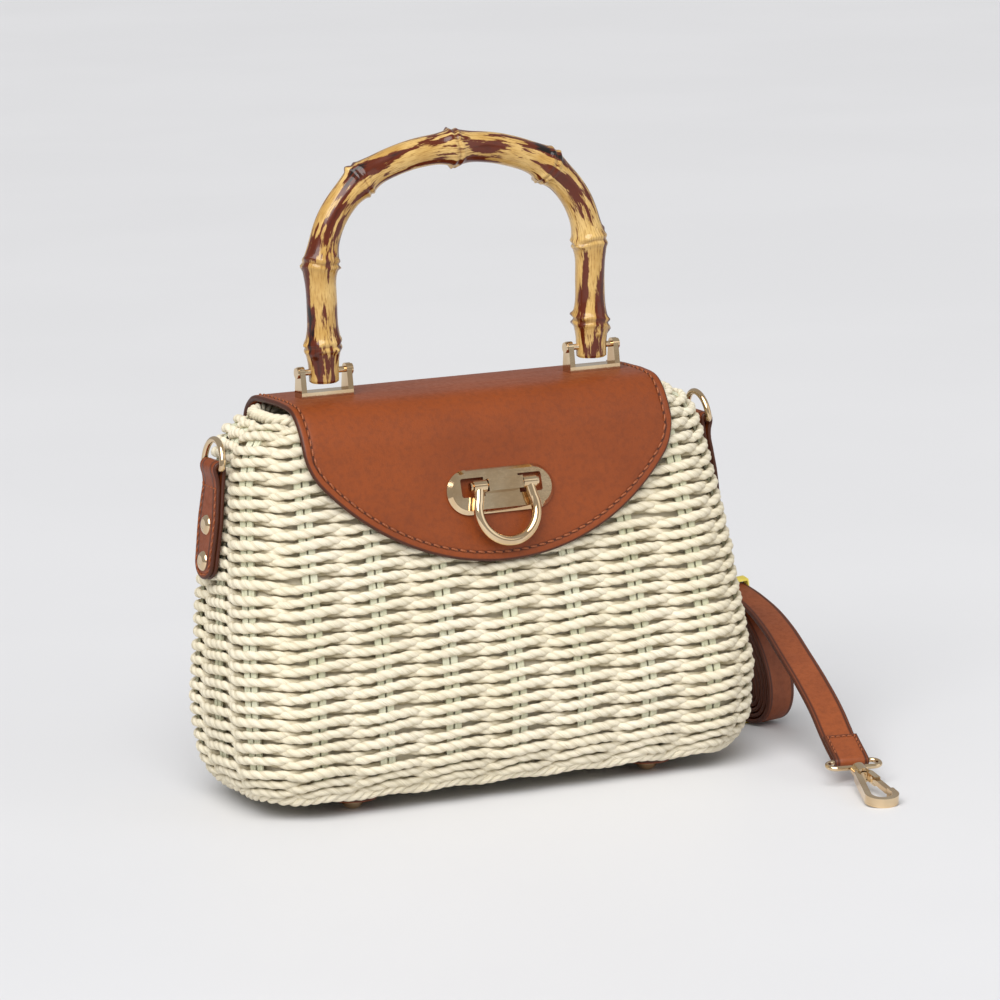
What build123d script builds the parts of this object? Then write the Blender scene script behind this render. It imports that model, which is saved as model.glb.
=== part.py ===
from build123d import *
from math import asin, atan2, cos, degrees, radians, sin, sqrt
import os

os.makedirs("parts", exist_ok=True)

# A small hand-woven basket bag with a leather lid, standing on four studs, with its strap beside it.
# Millimetres. The origin is on the floor under the middle of the base, the front faces -Y.

# ---- driving dimensions ----
BODY_WIDTH = 222.0        # widest, over the weave
BODY_DEPTH = 90.0         # deepest, over the weave
BODY_HEIGHT = 143.5       # base to rim
WALL = 5.0                # thickness of the weave
FOOT_HEIGHT = 6.5         # floor to base
LINING = 1.0              # cloth lining
SEAT = 0.2                # air between pieces that lie against each other

HANDLE_Y = 7.0            # the handle's plane, over the middle of the rim
HANDLE_SPAN = 114.0       # between the middles of the two legs
HANDLE_RISE = 82.0        # pin to the middle of the top
SHOULDER_X = 39.5         # the arch's upper joints, each side
SHOULDER_DOWN = 10.0      # below the middle of the top
ELBOW_DOWN = 41.0         # where the legs begin to bend
HANDLE_R = 5.9            # the cane between its joints
JOINT_R = 7.1             # the cane at its joints
PIN_R = 1.2               # the pins that the handle swings on
RUN_FIT = 0.05            # radial clearance of a pin in its hole

LEATHER = 2.4             # lid leather, both plies
FLAP_WIDTH = 156.0
FLAP_DROP = 92.0          # height of the flap's lowest point above the floor
FLAP_GAP = 0.5            # air between the lid and the weave
CROWN = 5.0               # height of the lid's outer face above the rim

CLASP_LENGTH = 45.0
CLASP_WIDTH = 17.5
CLASP_Z = 117.5           # height of the plate's middle
CLASP_RING_R = 12.2       # middle of the ring's wire
CLASP_WIRE_R = 2.0

TAB_LENGTH = 43.5
TAB_THICK = 3.6           # two plies
TAB_TOP_Z = 132.0
DEE_WIRE_R = 1.25
DEE_INSIDE = 15.1         # inner width of the D-ring

FOOT_X = 63.0
FOOT_Y = 23.0
WASHER_R = 10.0
STUD_R = 4.5

STRAP_WIDTH = 14.0
STRAP_THICK = 2.2

# ---- the basket's outer form ----
# Each level: share of the height, then how far the end, the front and the back stand in from the
# widest place, then the radius of the upright corners.
LEVELS = [
    (0.0, 11.0, 10.0, 10.0, 22.0),
    (0.025, 6.0, 5.0, 5.0, 24.0),
    (0.082, 2.0, 1.5, 1.5, 26.0),
    (0.224, 0.0, 0.0, 0.0, 27.0),
    (0.395, 2.0, 5.0, 1.0, 27.0),
    (0.63, 5.5, 14.0, 3.0, 25.0),
    (0.843, 9.5, 23.5, 6.0, 23.0),
    (0.929, 13.0, 27.5, 8.5, 21.0),
    (0.975, 18.0, 31.0, 10.5, 18.0),
    (1.0, 27.0, 36.0, 14.0, 14.0),
]
RIM_Z = FOOT_HEIGHT + BODY_HEIGHT


def wall_at(z):
    """Half width, front y and back y of the weave's outer face at height z."""
    share = (z - FOOT_HEIGHT) / BODY_HEIGHT
    low = max(i for i in range(len(LEVELS) - 1) if LEVELS[i][0] <= max(share, 0.0))
    a, b = LEVELS[low], LEVELS[low + 1]
    t = (share - a[0]) / (b[0] - a[0])
    end, front, back = [a[i] + (b[i] - a[i]) * t for i in (1, 2, 3)]
    return BODY_WIDTH / 2 - end, -BODY_DEPTH / 2 + front, BODY_DEPTH / 2 - back


def wall_shell(inset, floor_z, top_z):
    """Sketch planes and sizes of the rounded rectangles `inset` inside the weave's outer face."""
    heights = [FOOT_HEIGHT + level[0] * BODY_HEIGHT for level in LEVELS]
    heights = [floor_z] + [z for z in heights if floor_z + 0.5 < z < RIM_Z - 0.5] + [RIM_Z]
    rows = []
    for z in heights:
        half, front, back = wall_at(z)
        share = min(LEVELS, key=lambda level: abs(FOOT_HEIGHT + level[0] * BODY_HEIGHT - z))
        rows.append((z, 2 * (half - inset), back - front - 2 * inset, (front + back) / 2, share[4] - inset))
    if top_z > RIM_Z:
        rows.append((top_z,) + rows[-1][1:])
    return rows


def loft_rows(rows, mode=Mode.ADD):
    """A solid through one rounded rectangle per row."""
    sections = []
    for z, width, depth, middle, corner in rows:
        with BuildSketch(Plane.XY.offset(z)) as section:
            with Locations((0, middle)):
                RectangleRounded(width, depth, corner)
        sections.append(section.sketch)
    loft(sections=sections, ruled=True, mode=mode)


def front_plane(z, lift):
    """Plane on the front wall at height z, x to the right, y up the slope, lifted off the weave."""
    step = 2.0
    rise = wall_at(z + step)[1] - wall_at(z - step)[1]
    lean = atan2(rise, 2 * step)
    normal = Vector(0, -cos(lean), sin(lean))
    return Plane(Vector(0, wall_at(z)[1], z) + normal * lift, (1, 0, 0), normal)


def back_plane(z, lift):
    """Plane on the back wall at height z, x to the left seen from the front, y up the slope."""
    step = 2.0
    lean = atan2(wall_at(z - step)[2] - wall_at(z + step)[2], 2 * step)
    normal = Vector(0, cos(lean), sin(lean))
    return Plane(Vector(0, wall_at(z)[2], z) + normal * lift, (-1, 0, 0), normal)


def end_plane(z, side, lift):
    """Plane on an end wall (side -1 left, +1 right) at height z, y up the slope."""
    step = 2.0
    lean = atan2(wall_at(z - step)[0] - wall_at(z + step)[0], 2 * step)
    normal = Vector(side * cos(lean), 0, sin(lean))
    return Plane(Vector(side * wall_at(z)[0], HANDLE_Y, z) + normal * lift, (0, side, 0), normal)


# ---- fastenings through the walls: places that the pieces below share ----
STUD_SHANK_R = 1.25
RIVET_SHANK_R = 1.3
RIVET_HEAD_R = 3.9
RIVET_HEAD = 1.2
HOLE_FIT = 0.1
foot_places = [(x, y) for x in (-FOOT_X, FOOT_X) for y in (-FOOT_Y, FOOT_Y)]

TAB_RIVETS = [-22.5, -36.5]                  # down the tab from its top fold
tab_planes = {side: end_plane(TAB_TOP_Z - TAB_LENGTH / 2, side, 0.0) for side in (-1, 1)}
tab_half = TAB_LENGTH / 2

TAIL_Z = RIM_Z - 29.0                        # middle of the lid's tail on the back wall
TAIL_RIVETS = [-58.0, -20.0, 20.0, 58.0]
tail_plane = back_plane(TAIL_Z, 0.0)

KEEPER_R = 6.0
KEEPER_DEEP = 1.6
KEEPER_DOWN = 15.0                           # below the middle of the clasp plate
wall_front = front_plane(CLASP_Z, 0.0)

# ---- basket: woven body, open at the top ----
with BuildPart() as basket_body:
    loft_rows(wall_shell(0.0, FOOT_HEIGHT, RIM_Z))
    loft_rows(wall_shell(WALL, FOOT_HEIGHT + WALL, RIM_Z + 1.0), mode=Mode.SUBTRACT)
    with BuildSketch(Plane.XY):
        with Locations(*foot_places):
            Circle(STUD_SHANK_R + HOLE_FIT)
    extrude(amount=FOOT_HEIGHT + 2 * WALL, mode=Mode.SUBTRACT)
    for side in (-1, 1):
        with BuildSketch(tab_planes[side]):
            with Locations(*[(0, tab_half + down) for down in TAB_RIVETS]):
                Circle(RIVET_SHANK_R + HOLE_FIT)
        extrude(amount=2 * WALL, both=True, mode=Mode.SUBTRACT)
    with BuildSketch(tail_plane):
        with Locations(*[(x, 0) for x in TAIL_RIVETS]):
            Circle(RIVET_SHANK_R + HOLE_FIT)
    extrude(amount=2 * WALL, both=True, mode=Mode.SUBTRACT)
    with BuildSketch(wall_front):
        with Locations((0, -KEEPER_DOWN)):
            Circle(KEEPER_R + HOLE_FIT)
    extrude(amount=-KEEPER_DEEP, mode=Mode.SUBTRACT)
basket_body.part.label = "basket_body"
export_step(basket_body.part, "parts/basket_body.step")

# ---- lining: cloth glued inside the weave ----
LINING_OUT = WALL + SEAT
LINING_IN = LINING_OUT + LINING
with BuildPart() as lining:
    loft_rows(wall_shell(LINING_OUT, FOOT_HEIGHT + LINING_OUT, RIM_Z))
    loft_rows(wall_shell(LINING_IN, FOOT_HEIGHT + LINING_IN, RIM_Z + 1.0), mode=Mode.SUBTRACT)
    with BuildSketch(Plane.XY):
        with Locations(*foot_places):
            Circle(STUD_SHANK_R + HOLE_FIT)
    extrude(amount=FOOT_HEIGHT + 2 * LINING_IN, mode=Mode.SUBTRACT)
    for side in (-1, 1):
        with BuildSketch(tab_planes[side]):
            with Locations(*[(0, tab_half + down) for down in TAB_RIVETS]):
                Circle(RIVET_SHANK_R + HOLE_FIT)
        extrude(amount=2 * LINING_IN, both=True, mode=Mode.SUBTRACT)
    with BuildSketch(tail_plane):
        with Locations(*[(x, 0) for x in TAIL_RIVETS]):
            Circle(RIVET_SHANK_R + HOLE_FIT)
    extrude(amount=2 * LINING_IN, both=True, mode=Mode.SUBTRACT)
lining.part.label = "lining"
export_step(lining.part, "parts/lining.step")

# ---- feet: leather washers, domed studs and the nuts inside ----
WASHER_THICK = 2.5
STUD_FLAT_R = 1.6
NUT_R = 4.0
NUT_THICK = 1.2
INNER_FLOOR = FOOT_HEIGHT + LINING_IN
with BuildPart() as foot_washers:
    with BuildSketch(Plane.XY.offset(FOOT_HEIGHT - WASHER_THICK)):
        with Locations(*foot_places):
            Circle(WASHER_R)
            Circle(STUD_SHANK_R + HOLE_FIT, mode=Mode.SUBTRACT)
    extrude(amount=WASHER_THICK)
foot_washers.part.label = "foot_washers"
export_step(foot_washers.part, "parts/foot_washers.step")

stud_top = FOOT_HEIGHT - WASHER_THICK
with BuildPart() as foot_studs:
    for x, y in foot_places:
        with BuildSketch(Plane((x, y, 0), (1, 0, 0), (0, -1, 0))):
            with BuildLine():
                Line((0, 0), (STUD_FLAT_R, 0))
                ThreePointArc((STUD_FLAT_R, 0), (STUD_R * 0.82, stud_top * 0.38), (STUD_R, stud_top))
                Polyline(
                    (STUD_R, stud_top),
                    (STUD_SHANK_R, stud_top),
                    (STUD_SHANK_R, INNER_FLOOR + NUT_THICK + 0.6),
                    (0, INNER_FLOOR + NUT_THICK + 0.6),
                    (0, 0),
                )
            make_face()
        revolve(axis=Axis((x, y, 0), (0, 0, 1)))
foot_studs.part.label = "foot_studs"
export_step(foot_studs.part, "parts/foot_studs.step")

with BuildPart() as foot_nuts:
    with BuildSketch(Plane.XY.offset(INNER_FLOOR)):
        with Locations(*foot_places):
            Circle(NUT_R)
            Circle(STUD_SHANK_R + RUN_FIT, mode=Mode.SUBTRACT)
    extrude(amount=NUT_THICK)
foot_nuts.part.label = "foot_nuts"
export_step(foot_nuts.part, "parts/foot_nuts.step")

# ---- lid: one leather piece, hinged where it bends over the back edge ----
# The section is drawn along the middle of the leather, from the bend at the back to the tip.
HINGE_Z = RIM_Z - 10.5
hinge_y = wall_at(HINGE_Z)[2] + FLAP_GAP + LEATHER / 2 + 1.0
crown_mid = RIM_Z + CROWN - LEATHER / 2
flat_back, flat_front = HANDLE_Y + 5.5, HANDLE_Y - 5.5


def lid_front(z):
    """Point on the middle of the leather, in front of the wall at height z."""
    plane = front_plane(z, FLAP_GAP + LEATHER / 2)
    return (plane.origin.Y, plane.origin.Z)


# The flap bends where the wall does: at the heights of three of the levels, then straight to the tip.
bend_heights = [FOOT_HEIGHT + LEVELS[i][0] * BODY_HEIGHT for i in (7, 6, 5)]
FLAP_STEPS = bend_heights + [FLAP_DROP - 6.0]
SIDE_Z = RIM_Z - 12.0                        # where the flap's sides turn into its round end
half_flap = FLAP_WIDTH / 2
tip_r = (half_flap**2 + (SIDE_Z - FLAP_DROP) ** 2) / (2 * (SIDE_Z - FLAP_DROP))
clasp_plane = front_plane(CLASP_Z, FLAP_GAP + LEATHER)
inside_plane = front_plane(CLASP_Z, FLAP_GAP)

PRONG_X = 18.2
PRONG_R = 0.9
BACKING_THICK = 0.8
MAGNET_R = 6.0
MAGNET_THICK = 1.3
BRACKET_SCREW_R = 1.4
BRACKET_SCREW_X = 4.5
bracket_x = HANDLE_SPAN / 2
screw_places = [(side * bracket_x + d, HANDLE_Y) for side in (-1, 1) for d in (-BRACKET_SCREW_X, BRACKET_SCREW_X)]

tip = [lid_front(z) for z in FLAP_STEPS]
tip_slope = (tip[1][0] - tip[0][0], tip[1][1] - tip[0][1])
with BuildLine() as lid_middle:
    Spline(
        (hinge_y, HINGE_Z),
        (hinge_y - 2.2, crown_mid - 6.6),
        (hinge_y - 8.0, crown_mid - 1.7),
        (flat_back, crown_mid),
        tangents=[(0.0, 1.0), (-1.0, 0.0)],
    )
    Line((flat_back, crown_mid), (flat_front, crown_mid))
    Spline((flat_front, crown_mid), (-9.0, crown_mid - 1.5), tip[0], tangents=[(-1.0, 0.0), tip_slope])
    Polyline(*tip)


def lid_side(step):
    """The lid's section `step` away from its middle curve, from the hinge to the tip."""
    points = []
    for edge in lid_middle.edges():
        shares = [0.0, 0.2, 0.4, 0.6, 0.8] if edge.geom_type == GeomType.BSPLINE else [0.0]
        for share in shares:
            along = edge % share
            points.append(edge @ share + Vector(-along.Y, along.X) * step)
    along = lid_middle.edges()[-1] % 1
    points.append(lid_middle.edges()[-1] @ 1 + Vector(-along.Y, along.X) * step)
    return points


with BuildPart() as flap:
    with BuildSketch(Plane.YZ):
        with BuildLine():
            Polyline(*lid_side(LEATHER / 2), *reversed(lid_side(-LEATHER / 2)), close=True)
        make_face()
        with Locations((hinge_y, HINGE_Z)):
            Circle(LEATHER / 2)
    extrude(amount=half_flap, both=True)
    with BuildSketch(Plane.XZ) as outline:
        with BuildLine():
            Polyline(
                (-half_flap, SIDE_Z),
                (-half_flap, RIM_Z + 20),
                (half_flap, RIM_Z + 20),
                (half_flap, SIDE_Z),
            )
            ThreePointArc((half_flap, SIDE_Z), (0, FLAP_DROP), (-half_flap, SIDE_Z))
        make_face()
        fillet(outline.vertices().group_by(Axis.Y)[0], radius=24.0)
    extrude(amount=BODY_DEPTH, both=True, mode=Mode.INTERSECT)
    with BuildSketch(inside_plane):
        SlotOverall(2 * PRONG_X + 6.4, 6.4)
    extrude(amount=BACKING_THICK + SEAT, mode=Mode.SUBTRACT)
    with BuildSketch(inside_plane):
        with Locations((0, -KEEPER_DOWN)):
            Circle(MAGNET_R + HOLE_FIT)
    extrude(amount=MAGNET_THICK + SEAT, mode=Mode.SUBTRACT)
    with BuildSketch(inside_plane):
        with Locations((-PRONG_X, 0), (PRONG_X, 0)):
            Circle(PRONG_R + HOLE_FIT)
    extrude(amount=2 * LEATHER, mode=Mode.SUBTRACT)
    with BuildSketch(Plane.XY.offset(RIM_Z)):
        with Locations(*screw_places):
            Circle(BRACKET_SCREW_R + HOLE_FIT)
    extrude(amount=2 * CROWN, mode=Mode.SUBTRACT)
flap.part.label = "flap"
export_step(flap.part, "parts/flap.step")

# ---- the lid's tail, riveted to the back of the basket ----
TAIL_TOP = HINGE_Z - LEATHER / 2 - 0.4
TAIL_BOTTOM = RIM_Z - 41.0
TAIL_THICK = 2.2
tail_top_y = hinge_y - LEATHER / 2
with BuildPart() as flap_back:
    with BuildSketch(Plane.YZ):
        with BuildLine():
            low = back_plane(TAIL_BOTTOM, SEAT).origin
            bend = back_plane(bend_heights[1], SEAT).origin
            Polyline(
                (low.Y, low.Z),
                (bend.Y, bend.Z),
                (tail_top_y + 0.1, TAIL_TOP),
                (tail_top_y + 0.1 + TAIL_THICK, TAIL_TOP),
                (bend.Y + TAIL_THICK + 0.1, bend.Z + 0.2),
                (low.Y + TAIL_THICK, low.Z + 0.2),
                close=True,
            )
        make_face()
    extrude(amount=half_flap, both=True)
    with BuildSketch(Plane.XZ) as tail_outline:
        with Locations((0, (TAIL_TOP + TAIL_BOTTOM) / 2)):
            Rectangle(FLAP_WIDTH, TAIL_TOP - TAIL_BOTTOM)
        fillet(tail_outline.vertices().group_by(Axis.Y)[0], radius=12.0)
    extrude(amount=BODY_DEPTH, both=True, mode=Mode.INTERSECT)
    with BuildSketch(tail_plane):
        with Locations(*[(x, 0) for x in TAIL_RIVETS]):
            Circle(RIVET_SHANK_R + HOLE_FIT)
    extrude(amount=2 * WALL, both=True, mode=Mode.SUBTRACT)
flap_back.part.label = "flap_back"
export_step(flap_back.part, "parts/flap_back.step")


def rivet_outline(outside, inside):
    """Half section of a rivet along local +Y: domed head outside, flat cap inside."""
    with BuildLine() as outline:
        Polyline((0, outside + RIVET_HEAD), (1.4, outside + RIVET_HEAD))
        ThreePointArc(
            (1.4, outside + RIVET_HEAD),
            (RIVET_HEAD_R * 0.8, outside + RIVET_HEAD * 0.7),
            (RIVET_HEAD_R, outside),
        )
        Polyline(
            (RIVET_HEAD_R, outside),
            (RIVET_SHANK_R, outside),
            (RIVET_SHANK_R, inside),
            (RIVET_HEAD_R - 0.6, inside),
            (RIVET_HEAD_R - 0.6, inside - 0.8),
            (0, inside - 0.8),
            (0, outside + RIVET_HEAD),
        )
    return outline.edges()


def section_plane(plane, x, y):
    """Plane through the point (x, y) of `plane` that holds the plane's normal as its y axis."""
    origin = plane.from_local_coords(Vector(x, y, 0))
    return Plane(origin, plane.x_dir, plane.x_dir.cross(plane.z_dir))


def inner_face(plane):
    """Distance from the wall's outer face to the lining's inner face, square to the wall."""
    flat = sqrt(plane.z_dir.X**2 + plane.z_dir.Y**2)
    return -LINING_IN * flat - 0.25


tail_face = TAIL_THICK + SEAT + 0.35
with BuildPart() as flap_rivets:
    for x in TAIL_RIVETS:
        place = section_plane(tail_plane, x, 0)
        with BuildSketch(place):
            make_face(rivet_outline(tail_face, inner_face(tail_plane)))
        revolve(axis=Axis(place.origin, place.y_dir))
flap_rivets.part.label = "flap_rivets"
export_step(flap_rivets.part, "parts/flap_rivets.step")

# ---- clasp: domed plate with a window, hinge block, pin and ring ----
CLASP_THICK = 2.6
BLOCK_X = 14.6
PIN_UP = 1.6              # the pin stands this far above the plate's middle line
PIN_OUT = CLASP_THICK + CLASP_WIRE_R + 0.2
CLASP_PIN_R = 0.9
KNUCKLE_R = 2.3
with BuildPart() as clasp_plate:
    with BuildSketch(clasp_plane):
        SlotOverall(CLASP_LENGTH, CLASP_WIDTH)
    extrude(amount=CLASP_THICK)
    chamfer(clasp_plate.faces().sort_by(Axis(clasp_plane.origin, clasp_plane.z_dir))[-1].edges(), length=1.5)
    with BuildSketch(clasp_plane):
        with Locations((0, PIN_UP)):
            RectangleRounded(34.0, 7.4, 1.0)
    extrude(amount=2 * CLASP_THICK, mode=Mode.SUBTRACT)
    with BuildSketch(clasp_plane):
        with Locations((0, PIN_UP)):
            Rectangle(BLOCK_X, 7.4)
    extrude(amount=CLASP_THICK)
    with BuildSketch(clasp_plane):
        with Locations((0, PIN_UP)):
            Rectangle(BLOCK_X, 4.8)
    extrude(amount=PIN_OUT + 2.4)
    with BuildSketch(clasp_plane):
        with Locations((-PRONG_X, 0), (PRONG_X, 0)):
            Circle(PRONG_R)
    extrude(amount=-(LEATHER - BACKING_THICK - SEAT))
    with BuildSketch(Plane(clasp_plane.from_local_coords(Vector(0, PIN_UP, PIN_OUT)), (0, 1, 0), (1, 0, 0))):
        Circle(CLASP_PIN_R + 0.02)
    extrude(amount=CLASP_LENGTH, both=True, mode=Mode.SUBTRACT)
clasp_plate.part.label = "clasp_plate"
export_step(clasp_plate.part, "parts/clasp_plate.step")

clasp_pin_origin = clasp_plane.from_local_coords(Vector(0, PIN_UP, PIN_OUT))
clasp_across = Plane(clasp_pin_origin, (0, 1, 0), (1, 0, 0))
ARM_X = 10.4
KNUCKLE_IN = BLOCK_X / 2 + 0.4
KNUCKLE_OUT = 13.2
with BuildPart() as clasp_pin:
    with BuildSketch(clasp_across):
        Circle(CLASP_PIN_R)
    extrude(amount=KNUCKLE_OUT + 0.3, both=True)
    for side in (-1, 1):
        with BuildSketch(clasp_across.offset(side * (KNUCKLE_OUT + 0.3))):
            Circle(1.6)
        extrude(amount=side * 0.8)
clasp_pin.part.label = "clasp_pin"
export_step(clasp_pin.part, "parts/clasp_pin.step")

ring_plane = Plane(clasp_pin_origin, clasp_plane.x_dir, clasp_plane.z_dir)
RING_REACH = 22.0         # pin to the middle of the wire at the bottom
ring_mid = CLASP_RING_R - RING_REACH
join_x = CLASP_RING_R * cos(radians(20.0))
join_y = ring_mid + CLASP_RING_R * sin(radians(20.0))
with BuildPart() as clasp_ring:
    with BuildLine(ring_plane) as ring_path:
        CenterArc((0, ring_mid), CLASP_RING_R, 160.0, 220.0)
    with BuildSketch(Plane(ring_path.line @ 0, z_dir=ring_path.line % 0)):
        Circle(CLASP_WIRE_R)
    sweep(path=ring_path.line)
    for side in (-1, 1):
        foot = ring_plane.from_local_coords(Vector(side * join_x, join_y, 0))
        head = ring_plane.from_local_coords(Vector(side * ARM_X, 0, 0))
        with BuildSketch(Plane(foot, z_dir=head - foot)):
            Circle(CLASP_WIRE_R)
        extrude(amount=(head - foot).length)
        with Locations(foot):
            Sphere(CLASP_WIRE_R)
        with BuildSketch(clasp_across.offset(side * KNUCKLE_IN)):
            Circle(KNUCKLE_R)
        extrude(amount=side * (KNUCKLE_OUT - KNUCKLE_IN))
    with BuildSketch(clasp_across):
        Circle(CLASP_PIN_R + RUN_FIT)
    extrude(amount=CLASP_LENGTH, both=True, mode=Mode.SUBTRACT)
clasp_ring.part.label = "clasp_ring"
export_step(clasp_ring.part, "parts/clasp_ring.step")

with BuildPart() as clasp_backing:
    with BuildSketch(inside_plane.offset(SEAT / 2)):
        SlotOverall(2 * PRONG_X + 6.0, 6.0)
    extrude(amount=BACKING_THICK)
clasp_backing.part.label = "clasp_backing"
export_step(clasp_backing.part, "parts/clasp_backing.step")

# ---- magnetic snap behind the flap's tip ----
with BuildPart() as snap_magnet:
    with BuildSketch(inside_plane.offset(SEAT / 2)):
        with Locations((0, -KEEPER_DOWN)):
            Circle(MAGNET_R)
    extrude(amount=MAGNET_THICK)
snap_magnet.part.label = "snap_magnet"
export_step(snap_magnet.part, "parts/snap_magnet.step")

with BuildPart() as snap_keeper:
    with BuildSketch(wall_front.offset(-KEEPER_DEEP)):
        with Locations((0, -KEEPER_DOWN)):
            Circle(KEEPER_R)
    extrude(amount=KEEPER_DEEP - 0.05)
snap_keeper.part.label = "snap_keeper"
export_step(snap_keeper.part, "parts/snap_keeper.step")

# ---- handle brackets, their plates and screws, and the handle with its pins ----
BRACKET_X = 21.6
BRACKET_Y = 7.0
BRACKET_TOP_Y = 4.8       # the arms narrow towards their rounded ends
BRACKET_BASE = 2.4
BRACKET_ARM = 2.2
PIN_ABOVE = 9.8           # pin above the bracket's foot
crown_top = RIM_Z + CROWN
crown_under = crown_top - LEATHER
pin_z = crown_top + PIN_ABOVE
PLATE_THICK = 1.2
for name, side in (("left", -1), ("right", 1)):
    middle = side * bracket_x
    with BuildPart() as bracket:
        with BuildSketch(Plane.XZ.offset(-HANDLE_Y)) as yoke:
            with Locations((middle, crown_top)):
                Rectangle(BRACKET_X, PIN_ABOVE + 3.4, align=(Align.CENTER, Align.MIN))
            with Locations((middle, crown_top + BRACKET_BASE)):
                Rectangle(
                    BRACKET_X - 2 * BRACKET_ARM,
                    PIN_ABOVE + 3.4,
                    align=(Align.CENTER, Align.MIN),
                    mode=Mode.SUBTRACT,
                )
        extrude(amount=BRACKET_Y / 2, both=True)
        with BuildSketch(Plane.YZ.offset(middle)) as arm_shape:
            with BuildLine():
                Polyline(
                    (HANDLE_Y - BRACKET_TOP_Y / 2, pin_z),
                    (HANDLE_Y - BRACKET_Y / 2, crown_top + BRACKET_BASE),
                    (HANDLE_Y - BRACKET_Y / 2, crown_top),
                    (HANDLE_Y + BRACKET_Y / 2, crown_top),
                    (HANDLE_Y + BRACKET_Y / 2, crown_top + BRACKET_BASE),
                    (HANDLE_Y + BRACKET_TOP_Y / 2, pin_z),
                    close=True,
                )
            make_face()
            with Locations((HANDLE_Y, pin_z)):
                Circle(BRACKET_TOP_Y / 2)
        extrude(amount=BRACKET_X, both=True, mode=Mode.INTERSECT)
        with BuildSketch(Plane.YZ.offset(middle)):
            with Locations((HANDLE_Y, pin_z)):
                Circle(PIN_R + 0.02)
        extrude(amount=BRACKET_X, both=True, mode=Mode.SUBTRACT)
        with BuildSketch(Plane.XY.offset(crown_top)):
            with Locations((middle - BRACKET_SCREW_X, HANDLE_Y), (middle + BRACKET_SCREW_X, HANDLE_Y)):
                Circle(BRACKET_SCREW_R + 0.02)
        extrude(amount=BRACKET_BASE - 0.5, mode=Mode.SUBTRACT)
    bracket.part.label = "bracket_" + name
    export_step(bracket.part, "parts/bracket_" + name + ".step")

    with BuildPart() as bracket_plate:
        with BuildSketch(Plane.XY.offset(crown_under - PLATE_THICK)):
            with Locations((middle, HANDLE_Y)):
                RectangleRounded(BRACKET_X, 9.0, 2.0)
            with Locations((middle - BRACKET_SCREW_X, HANDLE_Y), (middle + BRACKET_SCREW_X, HANDLE_Y)):
                Circle(BRACKET_SCREW_R + HOLE_FIT, mode=Mode.SUBTRACT)
        extrude(amount=PLATE_THICK)
    bracket_plate.part.label = "bracket_plate_" + name
    export_step(bracket_plate.part, "parts/bracket_plate_" + name + ".step")

    with BuildPart() as handle_pin:
        with BuildSketch(Plane.YZ.offset(middle)):
            with Locations((HANDLE_Y, pin_z)):
                Circle(PIN_R)
        extrude(amount=BRACKET_X / 2 + 0.1, both=True)
        for end in (-1, 1):
            with BuildSketch(Plane.YZ.offset(middle + end * (BRACKET_X / 2 + 0.1))):
                with Locations((HANDLE_Y, pin_z)):
                    Circle(PIN_R + 0.9)
            extrude(amount=end * 0.7)
    handle_pin.part.label = "handle_pin_" + name
    export_step(handle_pin.part, "parts/handle_pin_" + name + ".step")

with BuildPart() as bracket_screws:
    with BuildSketch(Plane.XY.offset(crown_under - PLATE_THICK)):
        with Locations(*screw_places):
            Circle(BRACKET_SCREW_R)
    extrude(amount=PLATE_THICK + LEATHER + BRACKET_BASE - 0.7)
    with BuildSketch(Plane.XY.offset(crown_under - PLATE_THICK)):
        with Locations(*screw_places):
            Circle(2.6)
    extrude(amount=-1.2)
bracket_screws.part.label = "bracket_screws"
export_step(bracket_screws.part, "parts/bracket_screws.step")

LEG_UNDER_PIN = 4.4
LEG_END_R = 5.6
arch_x = HANDLE_SPAN / 2
arch_top_z = pin_z + HANDLE_RISE
shoulder_z = arch_top_z - SHOULDER_DOWN
elbow_z = arch_top_z - ELBOW_DOWN
leg_end_z = pin_z - LEG_UNDER_PIN
leg_joint_z = pin_z + 10.0
leg_mid_z = (leg_joint_z + elbow_z) / 2
arch_joints = [(-arch_x, elbow_z), (-SHOULDER_X, shoulder_z), (0, arch_top_z), (SHOULDER_X, shoulder_z), (arch_x, elbow_z)]
with BuildPart() as handle:
    with BuildLine(Plane.XZ.offset(-HANDLE_Y)) as arch:
        Spline((-arch_x, leg_joint_z), (-arch_x, leg_mid_z), *arch_joints, (arch_x, leg_mid_z), (arch_x, leg_joint_z))
    with BuildSketch(Plane.XY.offset(leg_joint_z)):
        with Locations((-arch_x, HANDLE_Y)):
            Circle(HANDLE_R)
    sweep(path=arch.line)
    for side in (-1, 1):
        with BuildSketch(Plane.XY.offset(leg_end_z)):
            with Locations((side * arch_x, HANDLE_Y)):
                Circle(LEG_END_R)
        extrude(amount=leg_joint_z - leg_end_z + 1.0)
        with Locations((side * arch_x, HANDLE_Y, leg_joint_z)):
            Sphere(JOINT_R)
    for x, z in arch_joints:
        with Locations((x, HANDLE_Y, z)):
            Sphere(JOINT_R)
    fillet(handle.edges().group_by(Axis.Z)[0], radius=1.9)
    for side in (-1, 1):
        with BuildSketch(Plane.YZ.offset(side * arch_x)):
            with Locations((HANDLE_Y, pin_z)):
                Circle(PIN_R + RUN_FIT)
        extrude(amount=2 * HANDLE_R, both=True, mode=Mode.SUBTRACT)
handle.part.label = "handle"
export_step(handle.part, "parts/handle.step")

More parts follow.
